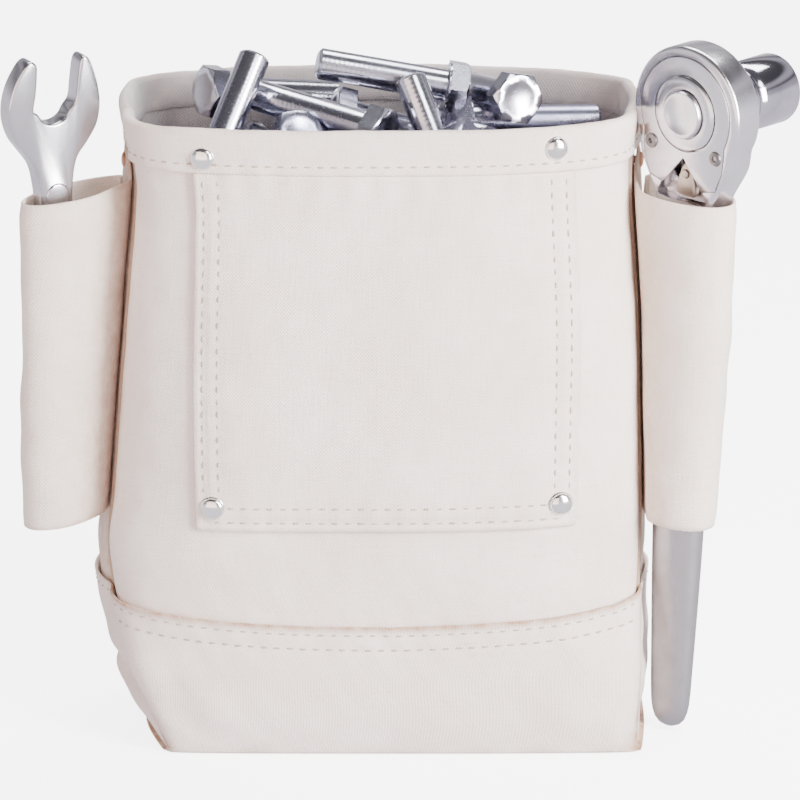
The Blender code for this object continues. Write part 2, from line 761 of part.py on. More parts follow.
def make_ratchet():
    frame = add_frame("ratchet_frame", tool_matrix(RATCHET_HEAD, RATCHET_END, RATCHET_TURN))
    bpy.context.view_layer.update()
    face = HEAD_THICKNESS / 2
    lower = [(22.4, -20), (16.4, -31), (11.8, -41), (8.6, -50), (7.6, -57)]
    outline = arc((0, 0), HEAD_RADIUS / MM, -27, 207, 19)
    outline += [(-x, z) for x, z in lower] + lower[::-1]
    head = outline_mesh(
        "head", [(x * MM, z * MM) for x, z in outline], HEAD_THICKNESS, 2.8 * MM, 2
    )
    handle = moved(turned_mesh("handle", handle_profile(), 16), Matrix.Diagonal((1, 0.7, 1, 1)))
    body = add_object("ratchet_body", joined("ratchet_body", head, handle), SATIN, parent=frame)
    bpy.context.view_layer.update()

    floor = 3.4 * MM
    pivot = SELECTOR_Z
    recess = [(0, -15.6), (-13, -34.6), (13, -34.6)]
    cuts = {
        "gear_pocket": face_cylinder("", GEAR_RADIUS + SLACK, -20 * MM, floor, 28),
        "drive_hole": face_cylinder("", 10.5 * MM, -20 * MM, 20 * MM, 20),
        "pawl_pocket": moved(
            prism_mesh("", 10.2 * MM, 30 * MM, 4, turn=math.pi / 4),
            Matrix.Translation((0, floor - 15 * MM, -21 * MM))
            @ Matrix.Diagonal((1, 1, 1.25, 1))
            @ TO_FACE,
        ),
        "cover_recess": moved(
            outline_mesh("", cover_outline(0.35), 10 * MM), Matrix.Translation((0, -10.6 * MM, 0))
        ),
        "selector_recess": moved(
            outline_mesh("", [(x * MM, z * MM) for x, z in recess], 20 * MM),
            Matrix.Translation((0, -11.4 * MM, 0)),
        ),
        "pin_hole": face_cylinder("", 1.9 * MM, -20 * MM, 5.4 * MM, 10, z=pivot),
    }
    for x in (-16.3 * MM, 16.3 * MM):
        name = "screw_hole_" + ("left" if x < 0 else "right")
        cuts[name] = face_cylinder("", 1.7 * MM, -20 * MM, 2.6 * MM, 8, x=x, z=-14.5 * MM)
    for name, mesh in cuts.items():
        cut(body, name, mesh)

    cover = add_object(
        "gear_cover",
        moved(outline_mesh("gear_cover", cover_outline(), 1.3 * MM), Matrix.Translation((0, -6.3 * MM, 0))),
        CHROME,
        parent=frame,
    )
    bpy.context.view_layer.update()
    cut(cover, "hub_hole", face_cylinder("", 15.4 * MM, -20 * MM, 0, 28))
    for x, side in ((-16.3 * MM, "left"), (16.3 * MM, "right")):
        cut(cover, "cover_hole_" + side, face_cylinder("", 1.7 * MM, -20 * MM, 0, 8, x=x, z=-14.5 * MM))
        head_top, head_seat = 8.2 * MM, 7.3 * MM
        screw = turned_mesh(
            "screw",
            [(0, head_top), (2.2 * MM, head_top), (3.0 * MM, head_seat), (1.3 * MM, head_seat),
             (1.3 * MM, -2.2 * MM), (0, -2.2 * MM)],
            10,
        )
        place = Matrix.Translation((x, 0, -14.5 * MM)) @ TO_FACE
        add_object("cover_screw_" + side, moved(screw, place), STEEL_DARK, parent=frame)

    hub = [(0, 8.3), (14.9, 8.3), (14.9, 4.8), (16.9, 4.8), (16.9, -3.0), (10.1, -3.0), (10.1, -8.4),
           (0, -8.4)]
    hub_mesh = moved(turned_mesh("hub", [(r * MM, h * MM) for r, h in hub], 28), TO_FACE)
    square = face_cylinder("square", DRIVE_SQUARE / math.sqrt(2), 6 * MM, 24.5 * MM, 4, turn=math.pi / 4)
    gear = add_object("drive_gear", joined("drive_gear", hub_mesh, square), STEEL_DARK, parent=frame)
    bpy.context.view_layer.update()
    cut(gear, "button_seat", face_cylinder("", 9.9 * MM, -20 * MM, -4.4 * MM, 20))
    cut(gear, "stem_bore", face_cylinder("", 2.3 * MM, -20 * MM, 21 * MM, 10))
    ball_bore = moved(
        prism_mesh("", 2.5 * MM, 10 * MM, 10),
        Matrix.Translation((6 * MM, 17 * MM, 0)) @ Matrix.Rotation(math.radians(90), 4, "Y"),
    )
    cut(gear, "ball_bore", ball_bore)

    button = [(0, 8.9), (5.4, 9.2), (8.4, 10.1), (9.4, 9.3), (9.4, 6.8), (1.9, 6.8), (1.9, -18.5),
              (0, -18.5)]
    button_mesh = moved(turned_mesh("release_button", [(r * MM, h * MM) for r, h in button], 20), TO_FACE)
    add_object("release_button", button_mesh, CHROME, parent=frame)

    ball = turned_mesh("detent_ball", [(2.1 * MM * math.sin(a), 2.1 * MM * math.cos(a))
                                       for a in (math.pi * i / 6 for i in range(7))], 10)
    place = Matrix.Translation((4.35 * MM, 17 * MM, 0))
    add_object("detent_ball", ball, STEEL_PLATED, parent=frame, matrix=place)

    pawl = [(-5.2, -3.2), (-3.6, -4.2), (3.6, -4.2), (5.2, -3.2), (5.0, 6.0), (0, 4.6), (-5.0, 6.0)]
    at_pivot = Matrix.Translation((0, 0, pivot))
    pawl_mesh = moved(
        outline_mesh("pawl", [(x * MM, z * MM) for x, z in pawl], 4.4 * MM),
        Matrix.Translation((0, 0.8 * MM, 0)),
    )
    pawl_obj = add_object("pawl", pawl_mesh, STEEL_DARK, parent=frame, matrix=at_pivot)
    lever = [(-1.6, 3.8), (-3.6, -1), (-4.6, -7.4), (0, -9.0), (4.6, -7.4), (3.6, -1), (1.6, 3.8)]
    lever_mesh = moved(
        outline_mesh("selector_lever", [(x * MM, z * MM) for x, z in lever], 3.0 * MM, 0.5 * MM, 1),
        Matrix.Translation((0, -3.4 * MM, 0)),
    )
    lever_obj = add_object("selector_lever", lever_mesh, STEEL_DARK, parent=frame, matrix=at_pivot)
    bpy.context.view_layer.update()
    for obj in (pawl_obj, lever_obj):
        cut(obj, obj.name + "_bore", face_cylinder("", 1.9 * MM, -20 * MM, 20 * MM, 10))
    pin = face_cylinder("selector_pin", 1.5 * MM, -5.6 * MM, 5.0 * MM, 12)
    add_object("selector_pin", pin, STEEL_PLATED, parent=frame, matrix=at_pivot)

    near = 9.0
    far = near + SOCKET_LENGTH / MM
    socket = [(0, -near), (12.4, -near), (13.1, -near - 0.8), (13.1, -23), (12.7, -24), (13.9, -26.5),
              (13.9, -far + 1), (13.2, -far), (0, -far)]
    socket_mesh = moved(turned_mesh("socket", [(r * MM, h * MM) for r, h in socket], 24), TO_FACE)
    socket_obj = add_object("socket", socket_mesh, CHROME, parent=frame)
    bpy.context.view_layer.update()
    half_square = (DRIVE_SQUARE / 2 + 0.3 * MM) * math.sqrt(2)
    cut(socket_obj, "drive_bore", face_cylinder("", half_square, 0, 27.5 * MM, 4, turn=math.pi / 4))
    hex_radius = (HEX_FLATS / 2 + 0.1 * MM) / math.cos(math.radians(30))
    cut(socket_obj, "hex_bore", face_cylinder("", hex_radius, 27 * MM, 80 * MM, 6))


# ------------------------------------------------------------------ the load of bolts


def make_bolts():
    head = prism_mesh(
        "hex", HEX_FLATS / 2 / math.cos(math.radians(30)), HEX_HEIGHT, 6,
        matrix=Matrix.Translation((0, 0, HEX_HEIGHT / 2)),
    )
    shank = prism_mesh(
        "shank", BOLT_RADIUS, BOLT_LENGTH + HEX_HEIGHT / 2, 10,
        matrix=Matrix.Translation((0, 0, HEX_HEIGHT / 4 - BOLT_LENGTH / 2)),
    )
    mesh = joined("hex_bolt", head, shank)
    for i, (seat, thread) in enumerate(LOOSE_BOLTS):
        matrix = along(-Vector(thread), Vector(seat) * MM, roll=0.4 * i)
        add_object(f"hex_bolt_{i + 1:02d}", mesh, ZINC, matrix=matrix)


def make_heap():
    """The bolts underneath, as one lump that fills the bag below its mouth. Its plan is the mouth's,
    so that it lifts out past the narrower upper part of the walls."""
    mouth = 237 * MM
    rows = []
    for z, inset in ((7, 14), (30, 10), (60, 9), (110, 9), (160, 9), (194, 10), (HEAP_TOP / MM, 16)):
        row = []
        for side in ("front", "right", "back", "left"):
            for u in (0.06, 0.2, 0.35, 0.5, 0.65, 0.8, 0.94) if side in ("front", "back") else (0.3, 0.7):
                here = wall_point(side, u, z * MM, -inset * MM)
                above = wall_point(side, u, mouth, -inset * MM)
                x = min(max(min(here.x, above.x, key=abs), -88 * MM), 76 * MM)
                point = Vector((x, min(here.y, above.y, key=abs), z * MM))
                row.append(point)
        rows.append(row)
    bm = bmesh.new()
    verts = [[bm.verts.new(p) for p in row] for row in rows]
    for lower, upper in zip(verts, verts[1:]):
        for i in range(len(lower)):
            j = (i + 1) % len(lower)
            bm.faces.new((lower[i], lower[j], upper[j], upper[i]))
    bm.faces.new(verts[0][::-1])
    bm.faces.new(verts[-1])
    mesh = bpy.data.meshes.new("bolt_heap")
    bm.to_mesh(mesh)
    bm.free()
    smooth_shade(mesh)
    add_object("bolt_heap", mesh, ZINC)


clear_scene()
PARTS = collection("bolt_bag")
CUTTERS = collection("cutters")
CANVAS = material("canvas", (0.78, 0.74, 0.68), 0.9)
WEBBING = material("tan_webbing", (0.48, 0.34, 0.23), 0.85)
STEEL_PLATED = material("nickel_plate", (0.72, 0.72, 0.72), 0.25, 1.0)
COPPER = material("copper", (0.72, 0.38, 0.24), 0.35, 1.0)
CHROME = material("polished_chrome", (0.78, 0.78, 0.8), 0.15, 1.0)
SATIN = material("satin_chrome", (0.7, 0.7, 0.71), 0.35, 1.0)
STEEL_DARK = material("dark_steel", (0.3, 0.3, 0.32), 0.4, 1.0)
ZINC = material("bright_zinc", (0.72, 0.74, 0.8), 0.22, 1.0)

make_wall_panels()
make_base_panel()
make_boot()
make_hem()
make_patch()
make_belt_tunnel()
make_welts()
make_sleeves()
make_rivets()
make_wrench()
make_ratchet()
make_bolts()
make_heap()
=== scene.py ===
"""The looks of a canvas bolt bag for a tool belt, loaded with bolts, a wrench and a ratchet.

The frame is +Z up and -Y towards the bag's front, in metres. The bag's wall surface is the same
function as in the CAD, at a finer step and with the cloth's own relief added. Every cloth piece is
laid on that surface, so the plies stay parallel.
"""

import math

import bmesh
import bpy
import numpy as np
from mathutils import Matrix, Vector


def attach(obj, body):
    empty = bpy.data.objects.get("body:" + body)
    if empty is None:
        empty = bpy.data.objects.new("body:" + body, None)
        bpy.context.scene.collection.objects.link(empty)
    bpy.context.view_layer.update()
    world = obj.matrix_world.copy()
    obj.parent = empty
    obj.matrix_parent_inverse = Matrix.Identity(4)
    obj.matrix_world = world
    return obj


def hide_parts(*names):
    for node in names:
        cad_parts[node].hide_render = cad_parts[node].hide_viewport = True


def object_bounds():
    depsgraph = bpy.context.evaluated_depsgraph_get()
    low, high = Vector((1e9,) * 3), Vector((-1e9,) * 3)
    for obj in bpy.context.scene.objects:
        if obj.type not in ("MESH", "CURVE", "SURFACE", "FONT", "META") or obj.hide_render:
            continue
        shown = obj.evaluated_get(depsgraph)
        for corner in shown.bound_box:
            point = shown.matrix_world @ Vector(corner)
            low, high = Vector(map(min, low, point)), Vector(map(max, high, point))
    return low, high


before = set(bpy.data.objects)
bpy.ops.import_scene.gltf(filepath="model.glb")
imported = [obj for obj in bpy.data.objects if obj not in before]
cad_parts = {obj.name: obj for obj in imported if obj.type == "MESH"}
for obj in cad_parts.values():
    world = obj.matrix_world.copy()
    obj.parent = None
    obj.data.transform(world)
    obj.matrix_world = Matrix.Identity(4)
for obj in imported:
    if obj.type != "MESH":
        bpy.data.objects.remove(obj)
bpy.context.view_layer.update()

MM = 0.001

# ------------------------------------------------------------------ driving dimensions, as in the CAD

BAG_HEIGHT = 254 * MM
CLOTH = 1.4 * MM
PLY = 1.2 * MM
OVERLAY = 2.0 * MM
HEM_DEPTH = 17 * MM
BASE_LIFT = 4.2 * MM
BOOT_FRONT_HEIGHT = 53 * MM
BOOT_SIDE_HEIGHT = 61 * MM
WALL_STATIONS = {
    0: (-90, 90, -46, 3, 8, 2, 40, 3),
    14: (-96, 91, -44, 8, 11, 3, 39, 7),
    30: (-104, 92, -37, 15, 10, 3, 35, 11),
    53: (-111, 92, -25, 26, 8, 3, 30, 18),
    75: (-115, 93, -17, 34, 6, 3, 26, 23),
    101: (-113, 93, -15, 37, 4, 3, 25, 25),
    140: (-110, 92, -15, 38, 4, 3, 25, 26),
    175: (-107, 91, -15, 38, 4, 3, 25, 27),
    222: (-103, 88, -15, 36, 4, 3, 24, 27),
    237: (-104, 88, -15, 35, 3, 3, 24, 27),
    254: (-107, 89, -15, 35, 2, 2, 23, 27),
}
FRONT_SQUARENESS_LEFT = 3.4
FRONT_SQUARENESS_RIGHT = 2.5
BACK_SQUARENESS = 2.8
CURVE_STEPS = 288
PATCH_U_BOTTOM = (0.223, 0.83)
PATCH_U_TOP = (0.19, 0.836)
PATCH_Z = (93.5 * MM, 236.2 * MM)
PATCH_RIVETS = ((0.2085, 242.6), (0.8045, 246), (0.247, 102.6), (0.8045, 102.6))
TUNNEL_U = (0.22, 0.78)
TUNNEL_Z = (150 * MM, 232 * MM)
TUNNEL_FLANGE = 12 * MM
TUNNEL_STANDOFF = 9 * MM
TUNNEL_RIVETS = ((0.255, 226), (0.745, 226), (0.255, 156), (0.745, 156))
SLEEVE_BOTTOM = 90 * MM
SLEEVE_TOP = 224 * MM
SLEEVE_FLANGE_TOP = 235.5 * MM
SLEEVE_FLANGE_BOTTOM = 84 * MM
SLEEVE_FLANGE_U = (0.48, 0.38, 0.29, 0.20)
SLEEVES = {
    "left": dict(
        top=dict(turn=34, width=50 * MM, half=10.5 * MM, drop=4 * MM),
        bottom=dict(turn=37, width=38 * MM, half=10.8 * MM, drop=3 * MM),
        fullness=1.1,
    ),
    "right": dict(
        top=dict(turn=44, width=50 * MM, half=14.5 * MM, drop=3 * MM),
        bottom=dict(turn=50, width=37 * MM, half=12.5 * MM, drop=2 * MM),
        fullness=1.0,
    ),
}
SLEEVE_CLEARANCE = 3.4 * MM
SEAM_RIVET_Z = (229, 89)
WRENCH_JAW = Vector((-136.2, -28.5, 257.4)) * MM
WRENCH_END = Vector((-133.5, -19.5, 95)) * MM
WRENCH_TURN = 30
WRENCH_BOX_Z = -141
RATCHET_HEAD = Vector((113.8, -28.5, 256.6)) * MM
RATCHET_END = Vector((105.9, -20.5, 1.5)) * MM
RATCHET_TURN = -43
SELECTOR_Z = -24.8
DRIVE_SQUARE = 12.7
HEX_FLATS = 19
BOLT_RADIUS = 6.2
BOLT_LENGTH = 52
HEX_HEIGHT = 8
LOOSE_BOLTS = (
    ((-75.7, -28, 231), (0.36, 0.50, 0.79)),
    ((17, 7, 257), (-0.975, -0.1, 0.2)),
    ((21, -29.7, 221.2), (-0.356, 0.418, 0.837)),
    ((-13, -24, 248), (-0.85, 0.50, 0.125)),
    ((-71, 14, 252.5), (0.86, 0.47, -0.163)),
    ((-20, 1.5, 246), (0.95, 0.116, -0.29)),
    ((42, -3, 255), (-0.44, 0.89, -0.137)),
    ((70.4, -14, 231), (-0.97, 0.097, 0.22)),
    ((73, 16, 229), (-0.98, 0.12, 0.154)),
    ((-88, -2, 226), (0.6, 0.8, 0.04)),
    ((-50, -32, 233), (0.98, -0.077, -0.135)),
)

# Dimensions that only the looks need
STEP = 2.0 * MM  # the cloth meshes' step
STITCH_PITCH = 5.1 * MM
STITCH_LENGTH = 3.1 * MM
THREAD_RADIUS = 0.42 * MM
FIRST_ROW = 3.1 * MM  # a seam's outer stitch row, from the cloth's edge
SECOND_ROW = 9.0 * MM
PILE_BOLTS = 190
PILE_TOP = 243 * MM
FLOOR_GLOW = 4.5  # keeps the paper near white beside the canvas

# ------------------------------------------------------------------ materials


class Nodes:
    """A short way to write a material's node tree."""

    def __init__(self, name):
        self.material = bpy.data.materials.new(name)
        self.material.use_nodes = True
        self.tree = self.material.node_tree
        self.shader = self.tree.nodes["Principled BSDF"]

    def add(self, kind, **settings):
        node = self.tree.nodes.new("ShaderNode" + kind)
        for key, value in settings.items():
            setattr(node, key, value)
        return node

    def link(self, source, target):
        self.tree.links.new(source, target)

    def math(self, operation, a, b=0.0):
        node = self.add("Math", operation=operation)
        for socket, value in zip(node.inputs, (a, b)):
            if isinstance(value, (int, float)):
                socket.default_value = value
            else:
                self.link(value, socket)
        return node.outputs[0]

    def noise(self, coords, scale, detail=3.0, roughness=0.55):
        node = self.add("TexNoise")
        node.inputs["Scale"].default_value = scale
        node.inputs["Detail"].default_value = detail
        node.inputs["Roughness"].default_value = roughness
        self.link(coords, node.inputs["Vector"])
        return node.outputs["Fac"]

    def mix(self, factor, a, b):
        node = self.add("Mix", data_type="RGBA")
        for key, value in (("Factor", factor), ("A", a), ("B", b)):
            socket = node.inputs[key]
            if isinstance(value, tuple):
                socket.default_value = (*value, 1.0)
            elif isinstance(value, float):
                socket.default_value = value
            else:
                self.link(value, socket)
        return node.outputs["Result"]

    def between(self, value, low, high, to_low=0.0, to_high=1.0):
        node = self.add("MapRange")
        for socket, number in zip(list(node.inputs)[1:5], (low, high, to_low, to_high)):
            socket.default_value = number
        self.link(value, node.inputs[0])
        return node.outputs[0]

    def set(self, **values):
        for key, value in values.items():
            socket = self.shader.inputs[key.replace("_", " ")]
            if isinstance(value, (int, float)):
                socket.default_value = value
            elif isinstance(value, tuple):
                socket.default_value = (*value, 1.0)
            else:
                self.link(value, socket)

    def bump(self, height, distance, strength=1.0, before=None):
        node = self.add("Bump")
        node.inputs["Distance"].default_value = distance
        node.inputs["Strength"].default_value = strength
        self.link(height, node.inputs["Height"])
        if before is not None:
            self.link(before, node.inputs["Normal"])
        self.link(node.outputs["Normal"], self.shader.inputs["Normal"])
        return node.outputs["Normal"]


def canvas_material(name, light, shade, soil_and_shade):
    """Heavy natural duck: a plain weave on the cloth's own UVs (in metres), slubs, mottling, and a
    warm brown painted shade, from a per-point attribute, where seams, cut edges and folds lie in shadow."""
    n = Nodes(name)
    uv = n.add("UVMap").outputs["UV"]
    place = n.add("TexCoord").outputs["Object"]
    split = n.add("SeparateXYZ")
    n.link(uv, split.inputs[0])
    warp = n.math("SINE", n.math("MULTIPLY", split.outputs["X"], 2 * math.pi / 0.00125))
    weft = n.math("SINE", n.math("MULTIPLY", split.outputs["Y"], 2 * math.pi / 0.00145))
    checks = n.math("MULTIPLY", warp, weft)
    long_x = n.add("Mapping")
    long_x.inputs["Scale"].default_value = (60, 900, 60)
    n.link(uv, long_x.inputs["Vector"])
    long_y = n.add("Mapping")
    long_y.inputs["Scale"].default_value = (900, 60, 60)
    n.link(uv, long_y.inputs["Vector"])
    slub_weft = n.noise(long_x.outputs[0], 1.0, 2.0)
    slub_warp = n.noise(long_y.outputs[0], 1.0, 2.0)
    slubs = n.math("ADD", slub_weft, slub_warp)
    height = n.math("ADD", n.math("MULTIPLY", checks, 0.5), n.math("MULTIPLY", slubs, 1.2))
    mottle = n.noise(place, 22.0, 4.0)
    cloud = n.noise(place, 95.0, 4.0, 0.65)
    fibre = n.noise(place, 1400.0, 2.0)
    base = n.mix(n.between(mottle, 0.35, 0.68), light, shade)
    base = n.mix(n.math("MULTIPLY", n.between(cloud, 0.46, 0.7), 0.5), base, shade)
    base = n.mix(n.math("MULTIPLY", n.between(slubs, 1.1, 1.35), 0.22), base, soil_and_shade)
    base = n.mix(n.math("MULTIPLY", n.between(fibre, 0.55, 0.72), 0.16), base, soil_and_shade)
    # Painted shade: the weave's low points are darkened. The same dark colour also gives the slubs and fibre
    # flecks their real tone.
    valley_shade = n.math("MULTIPLY", n.between(checks, -0.1, -1.0), 0.13)
    base = n.mix(valley_shade, base, soil_and_shade)
    # Painted shade: the attribute lays a warm brown where seams, cut edges and folds lie in shadow.
    tan = n.add("Attribute", attribute_name="tan").outputs["Fac"]
    patchy_shade = n.math("MULTIPLY", tan, n.between(n.noise(place, 260.0, 3.0), 0.25, 0.7, 0.55, 1.25))
    base = n.mix(n.math("MINIMUM", patchy_shade, 1.0), base, WARM_SHADE_COLOUR)
    # Painted shade: a grey darkening of the bag's inner faces.
    inside_shade = n.add("Attribute", attribute_name="inside_shade").outputs["Fac"]
    patchy_inside_shade = n.math("MULTIPLY", inside_shade, n.between(n.noise(place, 60.0, 4.0), 0.3, 0.7, 0.55, 0.95))
    base = n.mix(patchy_inside_shade, base, INSIDE_SHADE_COLOUR)
    n.set(Base_Color=base, Roughness=n.between(cloud, 0.3, 0.7, 0.86, 0.96))
    n.set(Sheen_Weight=0.18, Sheen_Roughness=0.6, Specular_IOR_Level=0.25)
    soft = n.bump(cloud, 0.0009, 0.35)
    n.bump(height, 0.00022, 0.8, soft)
    return n.material


def thread_material(name, colour, dark):
    n = Nodes(name)
    place = n.add("TexCoord").outputs["Object"]
    twist = n.add("TexWave", wave_type="BANDS", bands_direction="DIAGONAL")
    twist.inputs["Scale"].default_value = 900.0
    twist.inputs["Distortion"].default_value = 1.5
    n.link(place, twist.inputs["Vector"])
    # The twist's darker bands are painted shade in the grooves between the plies.
    n.set(Base_Color=n.mix(n.between(twist.outputs["Fac"], 0.2, 0.9), dark, colour), Roughness=0.7)
    n.set(Sheen_Weight=0.3)
    n.bump(twist.outputs["Fac"], 0.00012, 0.8)
    return n.material


def metal_material(name, colour, dull, roughness, scratch=0.25, grain=(260, 260, 260), spots=0.0):
    """Plated or ground steel: its gloss varies with handling, and fine scratches follow the grain."""
    n = Nodes(name)
    place = n.add("TexCoord").outputs["Object"]
    along = n.add("Mapping")
    along.inputs["Scale"].default_value = grain
    n.link(place, along.inputs["Vector"])
    fine = n.noise(along.outputs[0], 4.0, 5.0, 0.7)
    handling = n.noise(place, 70.0, 4.0)
    n.set(Base_Color=n.mix(n.between(handling, 0.4, 0.75), colour, dull), Metallic=1.0)
    gloss = n.between(handling, 0.3, 0.75, roughness * 0.8, roughness * 1.35)
    if spots:
        gloss = n.math("ADD", gloss, n.math("MULTIPLY", n.between(fine, 0.55, 0.8), spots))
    n.set(Roughness=gloss)
    n.bump(fine, 0.00006, scratch)
    return n.material


# The warm brown of the painted shade along seams, cut edges and folds.
WARM_SHADE_COLOUR = (0.40, 0.205, 0.10)
INSIDE_SHADE_COLOUR = (0.30, 0.28, 0.31)  # painted shade: the grey that darkens the bag's inner faces
CANVAS = canvas_material("canvas_duck", (0.92, 0.835, 0.785), (0.83, 0.725, 0.665), (0.58, 0.43, 0.33))
# The sleeves get a darker, warmer copy of the canvas: painted shade for the warm shadow at the bag's sides.
SLEEVE_CANVAS_SHADED = canvas_material(
    "canvas_duck_sleeve_shaded", (0.89, 0.79, 0.715), (0.80, 0.68, 0.59), (0.58, 0.42, 0.31)
)
# The piping's brown is painted shade: a dark cord down the upright seams, where there is only a warm shadow.
PIPING_PAINTED_SHADE = canvas_material("seam_piping_shade_brown", (0.50, 0.36, 0.26), (0.38, 0.25, 0.17), (0.22, 0.13, 0.08))
THREAD = thread_material("thread_natural", (0.60, 0.49, 0.41), (0.42, 0.32, 0.25))
THREAD_TAN = thread_material("thread_tan", (0.42, 0.22, 0.12), (0.2, 0.09, 0.05))
CHROME = metal_material("polished_chrome", (0.72, 0.70, 0.74), (0.62, 0.61, 0.65), 0.24, 0.08)
TOOL_CHROME = metal_material("satin_polished_chrome", (0.52, 0.505, 0.53), (0.42, 0.41, 0.44), 0.2, 0.25)
SATIN = metal_material(
    "satin_chrome", (0.42, 0.40, 0.42), (0.34, 0.33, 0.345), 0.38, 0.7, grain=(700, 700, 40), spots=0.25
)
SOCKET_CHROME = metal_material("socket_chrome", (0.52, 0.50, 0.56), (0.38, 0.36, 0.42), 0.12, 0.1)
ZINC = metal_material("bright_zinc", (0.56, 0.56, 0.62), (0.36, 0.36, 0.44), 0.19, 0.35, spots=0.15)
# The buried bolts get a darker copy of the zinc: painted shade for the gaps deep in the pile.
PILE_ZINC_SHADED = metal_material("zinc_pile_shaded", (0.40, 0.40, 0.50), (0.22, 0.22, 0.32), 0.26, 0.5, spots=0.2)
NICKEL = metal_material("nickel_plate", (0.80, 0.79, 0.78), (0.70, 0.69, 0.68), 0.16, 0.25)
COPPER = metal_material("copper", (0.50, 0.25, 0.15), (0.33, 0.15, 0.09), 0.38, 0.5, spots=0.2)
DARK_STEEL = metal_material("dark_steel", (0.24, 0.22, 0.22), (0.13, 0.12, 0.11), 0.34, 0.5, spots=0.2)
BROWN_STEEL = metal_material("lever_steel", (0.50, 0.43, 0.37), (0.34, 0.26, 0.2), 0.34, 0.5, spots=0.2)

# ------------------------------------------------------------------ the wall surface


def station_table():
    """The wall stations at every half millimetre of height, by the CAD's smooth cubic."""
    heights = sorted(WALL_STATIONS)
    table = []
    for h in np.arange(0, heights[-1] + 0.25, 0.5):
        i = max(k for k in range(len(heights) - 1) if heights[k] <= h)
        low, high = heights[i], heights[i + 1]
        before, after = heights[max(i - 1, 0)], heights[min(i + 2, len(heights) - 1)]
        t = (h - low) / (high - low)
        a, b = np.array(WALL_STATIONS[low], float), np.array(WALL_STATIONS[high], float)
        slope_a = (b - WALL_STATIONS[before]) / (high - before) * (high - low)
        slope_b = (np.array(WALL_STATIONS[after]) - a) / (after - low) * (high - low)
        table.append(
            (2 * t**3 - 3 * t**2 + 1) * a
            + (t**3 - 2 * t**2 + t) * slope_a
            + (3 * t**2 - 2 * t**3) * b
            + (t**3 - t**2) * slope_b
        )
    return np.array(table) * MM


STATIONS = station_table()


def wall_values(z):
    at = np.clip(np.asarray(z) / (0.5 * MM), 0, len(STATIONS) - 1)
    return np.array([np.interp(at, np.arange(len(STATIONS)), STATIONS[:, k]) for k in range(8)])


_lines = {}


def wall_line(side, z):
    """One side's outer line at a height: plan points, outward normals and running length."""
    key = (side, round(float(z), 6))
    if key in _lines:
        return _lines[key]
    left, right, front_y, front_depth, left_bulge, right_bulge, back_y, back_depth = wall_values(z)
    share = np.linspace(0, 1, CURVE_STEPS + 1)
    if side in ("front", "back"):
        first, last = (left, right) if side == "front" else (right, left)
        squareness = BACK_SQUARENESS - 0.75 * fade(z - 175 * MM, 70 * MM)
        if side == "front":
            squareness = np.where(share < 0.5, FRONT_SQUARENESS_LEFT, FRONT_SQUARENESS_RIGHT)
        cos, sin = np.cos(np.pi * share), np.abs(np.sin(np.pi * share))
        across = np.sign(cos) * np.abs(cos) ** (2 / squareness)
        out = sin ** (2 / squareness)
        x = (first + last) / 2 + (first - last) / 2 * across
        y = front_y - front_depth * out if side == "front" else back_y + back_depth * out
    else:
        bulge = right_bulge if side == "right" else -left_bulge
        x = (right if side == "right" else left) + bulge * np.sin(np.pi * share)
        y = front_y + (back_y - front_y) * (share if side == "right" else 1 - share)
    points = np.stack([x, y], 1)
    lengths = np.concatenate([[0], np.cumsum(np.linalg.norm(np.diff(points, axis=0), axis=1))])
    reach = 5
    count = len(points)
    ahead = points[np.minimum(np.arange(count) + reach, count - 1)]
    behind = points[np.maximum(np.arange(count) - reach, 0)]
    tangent = ahead - behind
    tangent /= np.linalg.norm(tangent, axis=1)[:, None]
    normals = np.stack([tangent[:, 1], -tangent[:, 0]], 1)
    _lines[key] = (points, normals, lengths)
    return _lines[key]


def ripple(a, b, wave, seed):
    """A smooth wavy field of about -1 to 1 from a few crossed sines, the same on every run."""
    total = 0.0
    for k in range(5):
        turn = seed * 1.7 + k * 1.257
        stretch = wave * (0.72 + 0.17 * ((seed * 3 + k * 2) % 5))
        phase = seed * 2.3 + k * 4.1
        total = total + np.sin(2 * np.pi * (a * math.cos(turn) + b * math.sin(turn)) / stretch + phase)
    return total / 3.2


def fade(distance, width):
    """0 at a line and 1 from a width away, smoothly."""
    t = np.clip(distance / width, 0, 1)
    return t * t * (3 - 2 * t)


def bell(distance, width):
    return np.exp(-((distance / width) ** 2))


def boot_height(u):
    return BOOT_FRONT_HEIGHT + (BOOT_SIDE_HEIGHT - BOOT_FRONT_HEIGHT) * (2 * u - 1) ** 2


